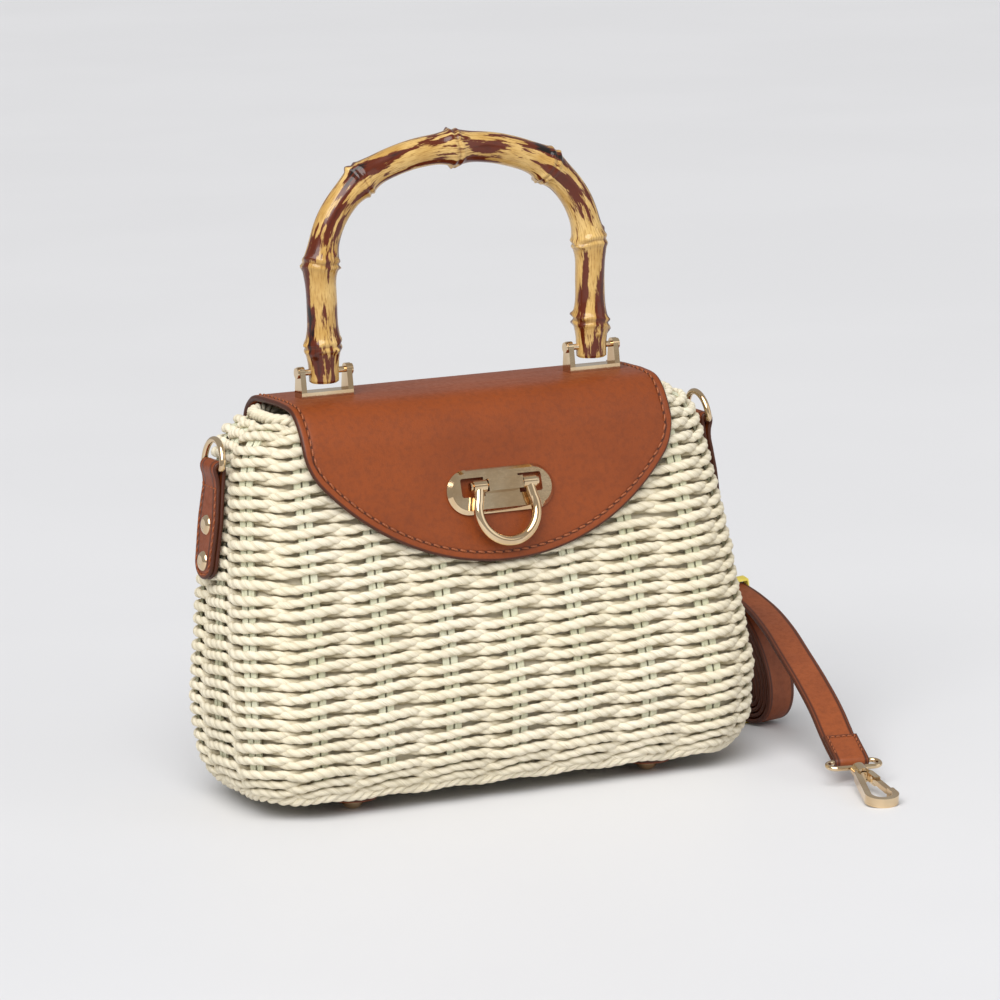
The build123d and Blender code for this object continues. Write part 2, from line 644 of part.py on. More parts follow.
# ---- strap tabs on the two ends, with their D-rings and rivets ----
FOLD_R = 2.8
TAB_HALF_TOP = 7.2
fold_out = SEAT + FOLD_R
dee_r = (DEE_INSIDE + 2 * DEE_WIRE_R) / 2
CORNER_R = 1.5
for name, side in (("left", -1), ("right", 1)):
    face = tab_planes[side].offset(SEAT)
    with BuildPart() as tab:
        with BuildSketch(face) as shape:
            with BuildLine() as half:
                Line((0, tab_half), (TAB_HALF_TOP, tab_half))
                Spline(
                    (TAB_HALF_TOP, tab_half),
                    (TAB_HALF_TOP + 0.2, tab_half - 8.0),
                    (9.2, tab_half - 20.0),
                    (8.4, tab_half - 29.0),
                    (8.2, tab_half - 36.0),
                    (0, -tab_half),
                )
                mirror(half.line, about=Plane.YZ)
            make_face()
        extrude(amount=TAB_THICK)
        fold_axis = tab_planes[side].from_local_coords(Vector(0, tab_half, fold_out))
        with BuildSketch(Plane(fold_axis, tab_planes[side].y_dir, tab_planes[side].x_dir)):
            Circle(FOLD_R)
        extrude(amount=TAB_HALF_TOP, both=True)
        with BuildSketch(Plane(fold_axis, tab_planes[side].y_dir, tab_planes[side].x_dir)):
            Circle(DEE_WIRE_R + 0.1)
        extrude(amount=2 * TAB_HALF_TOP, both=True, mode=Mode.SUBTRACT)
        with BuildSketch(face):
            with Locations(*[(0, tab_half + down) for down in TAB_RIVETS]):
                Circle(RIVET_SHANK_R + HOLE_FIT)
        extrude(amount=2 * TAB_THICK, both=True, mode=Mode.SUBTRACT)
    tab.part.label = "tab_" + name
    export_step(tab.part, "parts/tab_" + name + ".step")

    dee_plane = Plane(fold_axis, tab_planes[side].x_dir, tab_planes[side].z_dir)
    bar_half = dee_r - CORNER_R
    with BuildPart() as dee:
        with BuildLine(dee_plane) as bow:
            CenterArc((bar_half, CORNER_R), CORNER_R, -90, 90)
            CenterArc((0, CORNER_R), dee_r, 0, 180)
            CenterArc((-bar_half, CORNER_R), CORNER_R, 180, 90)
        with BuildSketch(Plane(bow.line @ 0, z_dir=bow.line % 0)):
            Circle(DEE_WIRE_R)
        sweep(path=bow.line)
        with BuildSketch(Plane(fold_axis, dee_plane.y_dir, dee_plane.x_dir)):
            Circle(DEE_WIRE_R)
        extrude(amount=bar_half, both=True)
    dee.part.label = "ring_" + name
    export_step(dee.part, "parts/ring_" + name + ".step")

    with BuildPart() as tab_rivets:
        for down in TAB_RIVETS:
            place = section_plane(tab_planes[side], 0, tab_half + down)
            with BuildSketch(place):
                make_face(rivet_outline(SEAT + TAB_THICK, inner_face(tab_planes[side])))
            revolve(axis=Axis(place.origin, place.y_dir))
    tab_rivets.part.label = "tab_rivets_" + name
    export_step(tab_rivets.part, "parts/tab_rivets_" + name + ".step")

# ---- strap: one leather strip, wound into an upright oval roll with both ends let out ----
# The roll stands on the floor beside the right end, its axis turned a little from the bag's.
ROLL_LONG = 33.0          # half axes of the roll's outline
ROLL_SHORT = 19.5
ROLL_TILT = 38.0          # lean of the long axis, away from the front, in degrees
ROLL_TURN = 14.0          # turn of the roll's axis from the bag's width, in degrees
STRAP_SHIFT = BODY_WIDTH / 2 - 111.0  # the strap keeps its distance from the basket's end
ROLL_FOOT = (134.0 + STRAP_SHIFT, 19.0)  # place of the near face, below the point of the roll nearest the front
ROLL_BACK = 16.0          # middle of the roll, behind that point
roll_axis = Vector(cos(radians(ROLL_TURN)), sin(radians(ROLL_TURN)))
roll_front = Vector(sin(radians(ROLL_TURN)), -cos(radians(ROLL_TURN)))
roll_rise = sqrt((ROLL_LONG * cos(radians(ROLL_TILT))) ** 2 + (ROLL_SHORT * sin(radians(ROLL_TILT))) ** 2)
roll_mid = Vector(*ROLL_FOOT) - roll_front * ROLL_BACK + Vector(0, 0, roll_rise)
roll_plane = Plane(roll_mid, roll_front, roll_axis)

# Each end of the strip: the middle of its width, then the turn of its width about the vertical.
# The points are the way the leather lies from the roll down to the fold at its end.
FRONT_END = [
    ((133.6, 49.5, 54.6), 14.0),
    ((136.85, 36.5, 52.4), 14.0),
    ((138.3, 25.5, 49.0), 8.0),
    ((136.8, 5.0, 43.2), 0.0),
    ((133.6, -14.0, 37.0), -6.0),
    ((130.0, -35.0, 29.8), -9.0),
    ((126.3, -55.0, 21.8), -10.0),
    ((120.7, -84.5, 8.6), -10.0),
]
BACK_END = [
    ((133.0, 55.0, 55.0), 14.0),
    ((130.4, 65.5, 53.0), 14.0),
    ((126.8, 80.0, 47.0), 14.0),
    ((122.6, 97.0, 37.6), 14.0),
    ((118.4, 114.0, 26.4), 14.0),
    ((112.1, 139.5, 8.6), 14.0),
]
KEEPER_LONG = 15.0        # the doubled and stitched end
LOOP_WIRE_R = 1.0


def strip_planes(route):
    """Planes across the strip at each point of its route, x along the strip's width."""
    places = [Vector(*point) + Vector(STRAP_SHIFT, 0) for point, turn in route]
    planes = []
    for i, (point, turn) in enumerate(route):
        along = places[min(i + 1, len(places) - 1)] - places[max(i - 1, 0)]
        along = along.normalized()
        across = Vector(cos(radians(turn)), sin(radians(turn)))
        across = (across - along * across.dot(along)).normalized()
        planes.append(Plane(places[i], across, along))
    return planes


def strip_sections(planes):
    """The leather's section on each plane up to the start of the doubled end."""
    sections = []
    for plane in planes[:-1] + [planes[-1].offset(-KEEPER_LONG)]:
        with BuildSketch(plane) as section:
            Rectangle(STRAP_WIDTH, STRAP_THICK)
        sections.append(section.sketch)
    return sections


strip_ends = {"front": strip_planes(FRONT_END), "back": strip_planes(BACK_END)}
with BuildPart() as strap:
    with BuildSketch(roll_plane):
        Ellipse(ROLL_SHORT, ROLL_LONG, rotation=-ROLL_TILT)
    extrude(amount=STRAP_WIDTH)
    for planes in strip_ends.values():
        loft(sections=strip_sections(planes), ruled=True)
        side_on = Plane(planes[-1].origin, planes[-1].z_dir, planes[-1].x_dir)
        with BuildSketch(side_on):
            with Locations((-KEEPER_LONG / 2, 0)):
                Rectangle(KEEPER_LONG, 2 * STRAP_THICK)
            Circle(STRAP_THICK)
            Circle(LOOP_WIRE_R + RUN_FIT, mode=Mode.SUBTRACT)
        extrude(amount=STRAP_WIDTH / 2, both=True)
strap.part.label = "strap"
export_step(strap.part, "parts/strap.step")

# ---- elastic band round the roll, a closed loop that hugs the leather ----
BAND_WIDE = 3.0
BAND_THICK = 0.6
BAND_LEAN = 11.4          # lean of the loop from upright, towards the back, in degrees
BAND_AIR = 0.1
band_out = BAND_AIR + BAND_THICK
band_up = -roll_front * sin(radians(BAND_LEAN)) + Vector(0, 0, cos(radians(BAND_LEAN)))
band_plane = Plane(roll_mid, roll_axis, roll_axis.cross(band_up))
with BuildPart() as strap_band:
    with BuildSketch(roll_plane.offset(-band_out)):
        Ellipse(ROLL_SHORT + band_out, ROLL_LONG + band_out, rotation=-ROLL_TILT)
    extrude(amount=STRAP_WIDTH + 2 * band_out)
    with BuildSketch(roll_plane.offset(-BAND_AIR)):
        Ellipse(ROLL_SHORT + BAND_AIR, ROLL_LONG + BAND_AIR, rotation=-ROLL_TILT)
    extrude(amount=STRAP_WIDTH + 2 * BAND_AIR, mode=Mode.SUBTRACT)
    with BuildSketch(band_plane):
        Rectangle(4 * ROLL_LONG, 4 * ROLL_LONG)
    extrude(amount=BAND_WIDE / 2, both=True, mode=Mode.INTERSECT)
strap_band.part.label = "strap_band"
export_step(strap_band.part, "parts/strap_band.step")

# ---- each end of the strap: wire loop with a swivel post, snap hook and its gate ----
# Places are measured in the hook's own plane: x across the strap, y from the fold towards the tip.
LOOP_HALF = 10.5          # half the loop's width, to the middle of its wire
LOOP_REACH = 6.4          # fold to the middle of the loop's far bar
POST_R = 1.3
SHOULDER_END = 8.6        # the post is thicker up to here
HEAD_START = 14.4
HEAD_END = 15.8
HEAD_R = 1.8
COLLAR_START = 8.8
COLLAR_END = 15.2
COLLAR_R = 3.1
HOOK_BASE = 16.5          # middle of the small circle of the teardrop
HOOK_TIP = 37.5           # middle of its large circle
HOOK_BASE_R = 3.9
HOOK_TIP_R = 6.6
HOOK_BAND = 2.5           # width of the hook's metal, seen from above
HOOK_THICK = 3.6
GATE_THICK = 2.0
GATE_R = 1.2
GATE_PIN_R = 0.5
SLOT_R = 1.6              # room in the hook around the gate's pin
GATE_START = 20.4         # the gate's pin
GATE_END = 31.5           # middle of the gate's rounded tip
NOSE = 33.0               # where the hook's nose begins
HOOK_LONG = HOOK_TIP + HOOK_TIP_R


def teardrop(inset):
    """Outline of two circles and the straight sides that touch them both, drawn in by the inset."""
    slope = asin((HOOK_TIP_R - HOOK_BASE_R) / (HOOK_TIP - HOOK_BASE))
    side = Vector(cos(slope), -sin(slope))
    low = side * (HOOK_BASE_R - inset)
    high = side * (HOOK_TIP_R - inset)
    with BuildSketch() as outline:
        with Locations((0, HOOK_BASE)):
            Circle(HOOK_BASE_R - inset)
        with Locations((0, HOOK_TIP)):
            Circle(HOOK_TIP_R - inset)
        with BuildLine():
            Polyline(
                (low.X, HOOK_BASE + low.Y),
                (high.X, HOOK_TIP + high.Y),
                (-high.X, HOOK_TIP + high.Y),
                (-low.X, HOOK_BASE + low.Y),
                close=True,
            )
        make_face()
    return outline.sketch


def gate_line(y):
    """Middle of the metal on the hook's right side, at a distance from the fold."""
    share = (y - HOOK_BASE) / (HOOK_TIP - HOOK_BASE)
    return HOOK_BASE_R + (HOOK_TIP_R - HOOK_BASE_R) * share - HOOK_BAND / 2


def across_hook(plane, y):
    """Plane square to the hook's length, at a distance from the fold, facing the tip."""
    return Plane(plane.from_local_coords(Vector(0, y, 0)), plane.x_dir, plane.y_dir)


gate_turn = degrees(atan2(GATE_END - GATE_START, gate_line(GATE_END) - gate_line(GATE_START)))
gate_long = sqrt((GATE_END - GATE_START) ** 2 + (gate_line(GATE_END) - gate_line(GATE_START)) ** 2)
gate_middle = ((gate_line(GATE_START) + gate_line(GATE_END)) / 2, (GATE_START + GATE_END) / 2)
for name, planes in strip_ends.items():
    end = planes[-1]
    level = Vector(end.z_dir.X, end.z_dir.Y).normalized()
    reach = sqrt(HOOK_LONG ** 2 + (HOOK_THICK / 2) ** 2)
    dip = asin(end.origin.Z / reach) - atan2(HOOK_THICK / 2, HOOK_LONG)
    towards_tip = level * cos(dip) - Vector(0, 0, sin(dip))
    across = (end.x_dir - towards_tip * end.x_dir.dot(towards_tip)).normalized()
    hook_plane = Plane(end.origin, across, across.cross(towards_tip))

    with BuildPart() as strap_loop:
        with BuildLine(hook_plane) as oval:
            CenterArc((LOOP_HALF - LOOP_REACH / 2, LOOP_REACH / 2), LOOP_REACH / 2, -90, 180)
            Line((LOOP_HALF - LOOP_REACH / 2, LOOP_REACH), (LOOP_REACH / 2 - LOOP_HALF, LOOP_REACH))
            CenterArc((LOOP_REACH / 2 - LOOP_HALF, LOOP_REACH / 2), LOOP_REACH / 2, 90, 180)
        with BuildSketch(Plane(oval.line @ 0, z_dir=oval.line % 0)):
            Circle(LOOP_WIRE_R)
        sweep(path=oval.line)
        with BuildSketch(Plane(hook_plane.origin, hook_plane.y_dir, hook_plane.x_dir)):
            Circle(LOOP_WIRE_R)
        extrude(amount=LOOP_HALF - LOOP_REACH / 2, both=True)
        for start, stop, radius in (
            (LOOP_REACH, SHOULDER_END, HEAD_R),
            (SHOULDER_END, HEAD_START, POST_R),
            (HEAD_START, HEAD_END, HEAD_R),
        ):
            with BuildSketch(across_hook(hook_plane, start)):
                Circle(radius)
            extrude(amount=stop - start)
    strap_loop.part.label = "strap_loop_" + name
    export_step(strap_loop.part, "parts/strap_loop_" + name + ".step")

    with BuildPart() as hook:
        with BuildSketch(across_hook(hook_plane, COLLAR_START)):
            Circle(COLLAR_R)
        extrude(amount=COLLAR_END - COLLAR_START)
        with BuildSketch(hook_plane):
            add(teardrop(0))
        extrude(amount=HOOK_THICK / 2, both=True)
        with BuildSketch(hook_plane):
            add(teardrop(HOOK_BAND))
        extrude(amount=COLLAR_R, both=True, mode=Mode.SUBTRACT)
        with BuildSketch(hook_plane):
            with Locations((HOOK_TIP_R, (GATE_START + SLOT_R + NOSE) / 2)):
                Rectangle(2 * HOOK_TIP_R - 2.0, NOSE - GATE_START - SLOT_R)
        extrude(amount=HOOK_THICK, both=True, mode=Mode.SUBTRACT)
        with BuildSketch(hook_plane):
            with Locations((gate_line(GATE_START), GATE_START)):
                Circle(SLOT_R + 0.6)
        extrude(amount=GATE_THICK / 2 + 0.1, both=True, mode=Mode.SUBTRACT)
        with BuildSketch(hook_plane):
            with Locations((gate_line(GATE_START), GATE_START)):
                Circle(GATE_PIN_R)
        extrude(amount=HOOK_THICK / 2 - 0.1, both=True)
        with BuildSketch(across_hook(hook_plane, 0)):
            Circle(POST_R + RUN_FIT)
        extrude(amount=HEAD_START, mode=Mode.SUBTRACT)
        with BuildSketch(across_hook(hook_plane, HEAD_START - SEAT)):
            Circle(HEAD_R + 0.3)
        extrude(amount=HEAD_END + SEAT - HEAD_START + SEAT, mode=Mode.SUBTRACT)
    hook.part.label = "hook_" + name
    export_step(hook.part, "parts/hook_" + name + ".step")

    with BuildPart() as hook_gate:
        with BuildSketch(hook_plane):
            with Locations(gate_middle):
                SlotCenterToCenter(gate_long, 2 * GATE_R, rotation=gate_turn)
            with Locations((gate_line(GATE_START), GATE_START)):
                Circle(GATE_PIN_R + RUN_FIT, mode=Mode.SUBTRACT)
        extrude(amount=GATE_THICK / 2, both=True)
    hook_gate.part.label = "hook_gate_" + name
    export_step(hook_gate.part, "parts/hook_gate_" + name + ".step")
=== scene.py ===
import bmesh
import bpy
import numpy as np
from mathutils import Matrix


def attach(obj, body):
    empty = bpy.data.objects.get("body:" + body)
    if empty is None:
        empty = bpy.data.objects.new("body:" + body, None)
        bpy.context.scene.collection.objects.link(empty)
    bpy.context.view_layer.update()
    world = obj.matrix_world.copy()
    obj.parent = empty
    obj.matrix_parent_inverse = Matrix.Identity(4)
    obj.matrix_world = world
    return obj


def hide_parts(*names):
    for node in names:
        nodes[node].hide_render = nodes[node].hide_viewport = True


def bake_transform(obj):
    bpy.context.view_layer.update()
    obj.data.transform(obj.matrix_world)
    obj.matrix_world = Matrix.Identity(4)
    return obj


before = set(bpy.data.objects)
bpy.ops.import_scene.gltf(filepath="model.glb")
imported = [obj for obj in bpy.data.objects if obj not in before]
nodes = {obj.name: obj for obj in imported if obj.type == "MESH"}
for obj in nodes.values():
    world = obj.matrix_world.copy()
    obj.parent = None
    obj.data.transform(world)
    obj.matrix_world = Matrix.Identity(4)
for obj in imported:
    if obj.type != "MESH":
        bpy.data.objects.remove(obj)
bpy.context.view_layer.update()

# ----------------------------------------
# The wall of the basket, twined by hand from twisted paper cord: two cords make each row, one in
# front of an upright stake while the other is behind it, and they cross between the stakes.
# ----------------------------------------
MM = 0.001
HALF_WIDTH = 111.0
HALF_DEPTH = 45.0
BASE_Z = 6.5
BASKET_HIGH = 143.5
# Share of the height, then how far the end, front and back stand in, then the corner's radius.
LEVELS = np.array([
    (0.0, 11.0, 10.0, 10.0, 22.0),
    (0.025, 6.0, 5.0, 5.0, 24.0),
    (0.082, 2.0, 1.5, 1.5, 26.0),
    (0.224, 0.0, 0.0, 0.0, 27.0),
    (0.395, 2.0, 5.0, 1.0, 27.0),
    (0.63, 5.5, 14.0, 3.0, 25.0),
    (0.843, 9.5, 23.5, 6.0, 23.0),
    (0.929, 13.0, 27.5, 8.5, 21.0),
    (0.975, 18.0, 31.0, 10.5, 18.0),
    (1.0, 27.0, 36.0, 14.0, 14.0),
])
LEVEL_Z = BASE_Z + LEVELS[:, 0] * BASKET_HIGH
LEVEL_UP = np.concatenate([[0.0], np.cumsum(np.hypot(np.diff(LEVEL_Z), np.diff(LEVELS[:, 2])))])
WALL_UP = LEVEL_UP[-1]
# Where a trip round the basket turns its corners, as shares of the trip from the middle of the front.
TURNS = [0.0, 0.15, 0.22, 0.28, 0.35, 0.65, 0.72, 0.78, 0.85, 1.0]
TURN_X = [0, 1, 1, 1, 1, -1, -1, -1, -1, 0]
TURN_Y = [-1, -1, -1, 1, 1, 1, 1, -1, -1, -1]
TURN_ANGLE = np.radians([-90, -90, 0, 0, 90, 90, 180, 180, 270, 270])


def skin(around, up):
    """Points on the basket's outer face, in millimetres. `around` is the share of a trip round it,
    `up` the way up the wall from the edge of the base; below 0 it runs in under the base. Each level
    is a rounded rectangle: its corner's middle, plus the corner's radius in the outward direction."""
    around, up = np.broadcast_arrays(np.asarray(around, float) % 1.0, np.asarray(up, float))
    under = np.clip(-up, 0.0, HALF_DEPTH - 10.5)
    end, front, back, corner = [np.interp(up, LEVEL_UP, LEVELS[:, k]) for k in (1, 2, 3, 4)]
    half_x = HALF_WIDTH - end - under
    half_y = HALF_DEPTH - (front + back) / 2 - under
    corner = np.minimum(corner * (1 - under / HALF_DEPTH), half_y - 0.2)
    angle = np.interp(around, TURNS, TURN_ANGLE)
    x = np.interp(around, TURNS, TURN_X) * (half_x - corner) + corner * np.cos(angle)
    y = np.interp(around, TURNS, TURN_Y) * (half_y - corner) + corner * np.sin(angle)
    y = y + (front - back) / 2
    return np.stack([x, y, np.interp(up, LEVEL_UP, LEVEL_Z)], axis=-1)


def unit(vectors):
    """Vectors at length one."""
    return vectors / np.linalg.norm(vectors, axis=-1, keepdims=True)


def skin_frame(around, up):
    """The outer face's point, outward direction, direction up the wall and direction round it."""
    along = unit(skin(around + 0.002, up) - skin(around - 0.002, up))
    rise = unit(skin(around, np.asarray(up) + 1.0) - skin(around, np.asarray(up) - 1.0))
    out = unit(np.cross(along, rise))
    return skin(around, up), out, unit(np.cross(out, along)), along


def grid_faces(rows, columns, close_rows, close_columns):
    """Quads between neighbours on a grid of rows by columns, and each corner's row and column."""
    i, j = np.meshgrid(
        np.arange(rows if close_rows else rows - 1),
        np.arange(columns if close_columns else columns - 1),
        indexing="ij",
    )
    i, j = i.ravel(), j.ravel()
    corners = [(i, j), (i + 1, j), (i + 1, j + 1), (i, j + 1)]
    quads = np.stack([(a % rows) * columns + b % columns for a, b in corners], axis=1)
    return quads, np.stack([np.stack(corner, axis=1) for corner in corners], axis=1).astype(float)


def run_of(line):
    """Each point's distance along a line."""
    return np.concatenate([[0.0], np.cumsum(np.linalg.norm(np.diff(line, axis=0), axis=1))])


def along_line(at, run, line):
    """Places between the points of a line, at distances along it."""
    return np.stack([np.interp(at, run, line[:, k]) for k in range(line.shape[1])], axis=-1)


def points_round(middle, first, second, first_by, second_by):
    """Rings of points: each middle, plus one direction by one amount and another by another."""
    return (
        middle[..., None, :]
        + first[..., None, :] * first_by[..., None]
        + second[..., None, :] * second_by[..., None]
    )


def repeat_faces(faces, copies, size):
    """The same faces on each of several copies of `size` points."""
    starts = (np.arange(copies) * size)[:, None, None]
    return (faces[None] + starts).reshape(-1, faces.shape[1])


def add_object(name, data):
    """An object in the scene from its mesh, light or camera."""
    added = bpy.data.objects.new(name, data)
    bpy.context.scene.collection.objects.link(added)
    return added


def make_piece(name, points, faces, material, uv=None, smooth=True, **marks):
    """A mesh object from points in millimetres and faces, turned outwards as a whole if the volume
    that it encloses comes out negative. `uv` has a pair for each face corner, and each of `marks`
    one number for each point."""
    points = np.asarray(points, float).reshape(-1, 3)
    faces = [np.asarray(group) for group in faces]
    volume = 0.0
    for group in faces:
        for k in range(1, group.shape[1] - 1):
            a, b, c = points[group[:, 0]], points[group[:, k]], points[group[:, k + 1]]
            volume += np.einsum("ij,ij->", a, np.cross(b, c))
    if volume < 0:
        faces = [group[:, ::-1] for group in faces]
        uv = None if uv is None else [corners[:, ::-1] for corners in uv]
    mesh = bpy.data.meshes.new(name)
    mesh.from_pydata((points * MM).tolist(), [], [face for group in faces for face in group.tolist()])
    if uv is not None:
        layer = mesh.uv_layers.new(name="lay")
        layer.data.foreach_set("uv", np.concatenate([corners.reshape(-1, 2) for corners in uv]).ravel())
    for mark, values in marks.items():
        values = np.asarray(values, float).ravel()
        mesh.attributes.new(mark, "FLOAT", "POINT").data.foreach_set("value", values)
    mesh.polygons.foreach_set("use_smooth", np.full(len(mesh.polygons), smooth))
    mesh.materials.append(material)
    mesh.update()
    return add_object(name, mesh)


def paint(code):
    """A colour from its red, green and blue as six hexadecimal digits."""
    share = np.array([int(code[k:k + 2], 16) for k in (0, 2, 4)]) / 255.0
    linear = np.where(share <= 0.04045, share / 12.92, ((share + 0.055) / 1.055) ** 2.4)
    return (*linear.tolist(), 1.0)


def add_node(tree, kind, inputs=None, **settings):
    """A shader node with its settings, and its inputs linked or set."""
    node = tree.nodes.new("ShaderNode" + kind)
    for key, value in settings.items():
        setattr(node, key, value)
    for key, value in (inputs or {}).items():
        if isinstance(value, bpy.types.NodeSocket):
            tree.links.new(value, node.inputs[key])
        else:
            node.inputs[key].default_value = value
    return node


def blend_paint(tree, share, first, second):
    """One colour laid over another by a share. A colour is a code or comes from another node."""
    first, second = [paint(tone) if isinstance(tone, str) else tone for tone in (first, second)]
    return add_node(tree, "Mix", {0: share, 6: first, 7: second}, data_type="RGBA").outputs[2]


def combine(tree, how, first, second=0.0):
    """One value from two by a sum, difference or product, or the size of one."""
    return add_node(tree, "Math", {0: first, 1: second}, operation=how).outputs[0]


def mark_of(tree, name):
    """A number that the mesh carries at each point."""
    return add_node(tree, "Attribute", attribute_name=name).outputs["Fac"]


def place_on(tree):
    """The place on the object."""
    return add_node(tree, "TexCoord").outputs["Object"]


def layer(tree, value, low, high, first, second):
    """The second colour laid over the first as a value runs between two limits."""
    return blend_paint(tree, spread(tree, value, low, high), first, second)


def colour_by(tree, shader, value, first, second, low=0.3, high=0.7):
    """The shader's colour between two paints, by a noise."""
    tree.links.new(layer(tree, value, low, high, first, second), shader.inputs["Base Color"])


def spread(tree, value, low, high):
    """A value between two limits stretched to run from 0 to 1."""
    limits = {"Value": value, "From Min": low, "From Max": high}
    return add_node(tree, "MapRange", limits, interpolation_type="SMOOTHSTEP").outputs[0]


def mottle(tree, where, scale, stretch=(1, 1, 1), detail=3.0, rough=0.55):
    """Soft noise on coordinates that are stretched first."""
    placed = add_node(tree, "Mapping", {"Vector": where, "Scale": stretch})
    inputs = {"Vector": placed.outputs[0], "Scale": scale, "Detail": detail, "Roughness": rough}
    return add_node(tree, "TexNoise", inputs).outputs["Fac"]


def new_material(name, **inputs):
    """A material with one principled shader, its plain values set on the shader itself."""
    material = bpy.data.materials.new(name)
    material.use_nodes = True
    tree = material.node_tree
    shader = next(node for node in tree.nodes if node.type == "BSDF_PRINCIPLED")
    for key, value in inputs.items():
        shader.inputs[key.replace("_", " ")].default_value = value
    return material, tree, shader


def vary_gloss(tree, shader, value, low, high):
    """Roughness between two limits, from a noise."""
    limits = {"Value": value, "From Min": 0.3, "From Max": 0.7, "To Min": low, "To Max": high}
    tree.links.new(add_node(tree, "MapRange", limits).outputs[0], shader.inputs["Roughness"])


def relief(tree, shader, height, strength, distance):
    """Bump on the shader from a height."""
    bump = add_node(tree, "Bump", {"Height": height, "Strength": strength, "Distance": distance})
    tree.links.new(bump.outputs[0], shader.inputs["Normal"])


def paper_material(name, light, shaded, painted_shade):
    """Matte twisted paper: long creases along each ply, painted shade in the low lines of those
    creases, in the hollow between the plies and on cord that passes behind a stake, and a tone that
    wanders slowly over the basket and changes a little from cord to cord."""
    material, tree, shader = new_material(name, Roughness=0.95, Specular_IOR_Level=0.2)
    lay = add_node(tree, "UVMap", uv_map="lay").outputs[0]
    place = place_on(tree)
    crest = mark_of(tree, "crest")
    tone = mark_of(tree, "tone")
    hidden = mark_of(tree, "hidden")
    creases = mottle(tree, lay, 1.0, (1.1, 26.0, 1.0), 4.0, 0.6)
    flecks = mottle(tree, place, 900.0, detail=2.0)
    cloud = mottle(tree, place, 28.0)
    body = layer(tree, cloud, 0.3, 0.7, shaded, light)
    body = layer(tree, tone, -1.0, 2.0, body, shaded)
    # Painted shade: darker where the crease noise is low, in the sunken lines of the bump.
    body = layer(tree, creases, 0.5, 0.2, body, painted_shade)
    # Painted shade in the hollow between the two plies, where the crest mark is low.
    colour = layer(tree, crest, -0.3, 0.75, painted_shade, body)
    # Painted shade on cord that passes behind a stake.
    colour = layer(tree, hidden, 0.55, 1.3, colour, painted_shade)
    tree.links.new(colour, shader.inputs["Base Color"])
    height = combine(tree, "ADD", creases, flecks)
    relief(tree, shader, height, 0.55, 0.0004)
    return material


# The last colour is painted shade, laid in the creases, between the plies and behind the stakes.
cord_paper = paper_material("cord_paper", "E9E0CB", "DFD5BC", "A89A76")
STAKES = 20
ROW_PITCH = 5.2
PLIES = 5  # pairs of points round a cord
CORD_HIGH = 1.62
CORD_DEEP = 1.25
STEP = 1.25
shape_draws = np.random.default_rng(11)


def twined_rows(name, ups, step, wild=0.0):
    """Rows of twined cord as closed tubes, two cords to a row and half a turn apart. Along a row
    each cord goes round as a flattened cosine in depth and a sine in height, so it passes in front of
    every second stake climbing to the right, and behind the others. Its section is a ring of
    points with two lobes, one for each strand, that turns along the cord and is fattest where it
    passes in front. `wild` adds waves to the first rows."""
    rows = len(ups)
    ups = np.repeat(np.asarray(ups, float), 2)[:, None]
    cords = len(ups)
    length = np.linalg.norm(np.diff(skin(np.linspace(0, 1, 200), ups.mean()), axis=0), axis=1).sum()
    count = int(round(length / step))
    around = np.linspace(0.0, 1.0, count, endpoint=False)[None, :]
    which = (np.arange(cords) % 2)[:, None]
    turn = np.pi * (around * STAKES + which)
    swing = np.sin(np.pi / 2 * np.cos(turn))
    nearest = np.broadcast_to(np.round(around * STAKES).astype(int) % STAKES, (cords, count))
    lift, push, fat = [
        np.take_along_axis(shape_draws.normal(0, by, (cords, STAKES)), nearest, 1) * np.cos(turn) ** 2
        for by in (0.22, 0.16, 0.07)
    ]
    waves = np.repeat(shape_draws.uniform(0, 2 * np.pi, (rows, 4)), 2, axis=0)
    drift = sum(0.16 * np.sin(2 * np.pi * around * (3 * k + 2) + waves[:, k:k + 1]) for k in range(4))
    edge = wild * np.exp(-(ups - ups[0, 0]) / 6.0)
    heights = ups + (0.9 + 0.5 * edge) * np.sin(turn) + lift + drift
    heights = heights + edge * 1.7 * np.cos(2 * np.pi * around * STAKES)
    depth = 3.0 - 1.35 * swing + push
    point, out, rise, _ = skin_frame(around, heights)
    middle = point - out * depth[..., None]
    laps = int(round(length / 11.0))
    ring = np.linspace(0, 2 * np.pi, 2 * PLIES, endpoint=False)
    spin = -2 * np.pi * laps * around + shape_draws.uniform(0, 6.0, (cords, 1))
    spin = spin + 0.9 * np.sin(turn * 0.5 + waves[:, :1])
    angle = spin[..., None] + ring
    # The crest mark is low in the hollow between the plies, where the paper material paints shade.
    crest = np.abs(np.cos(ring)) ** 0.8
    size = (0.75 + 0.31 * crest) * (1 + fat[..., None])
    deep = (CORD_DEEP + 0.25 * swing)[..., None] * size
    high = (CORD_HIGH + 0.16 * swing)[..., None] * size
    points = points_round(middle, out, rise, deep * np.cos(angle), high * np.sin(angle))
    quads, steps = grid_faces(count, 2 * PLIES, True, True)
    faces = repeat_faces(quads, cords, count * 2 * PLIES)
    uv = np.tile(steps, (cords, 1, 1))
    uv[..., 0] *= length / count / 10.0
    uv[..., 1] /= 2 * PLIES
    uv[..., 0] += np.repeat(shape_draws.uniform(0, 50, cords), len(quads))[:, None]
    tone = np.broadcast_to(shape_draws.normal(0, 0.4, (cords, 1, 1)), (cords, count, 2 * PLIES))
    # Painted shade mark: 1 where the cord passes behind a stake, 0 where it passes in front.
    hidden = np.broadcast_to((0.5 - 0.5 * swing)[..., None], tone.shape)
    piece = make_piece(
        name, points, [faces], cord_paper, [uv],
        crest=np.broadcast_to(crest, tone.shape), tone=tone, hidden=hidden,
    )
    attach(piece, "basket")
    return piece


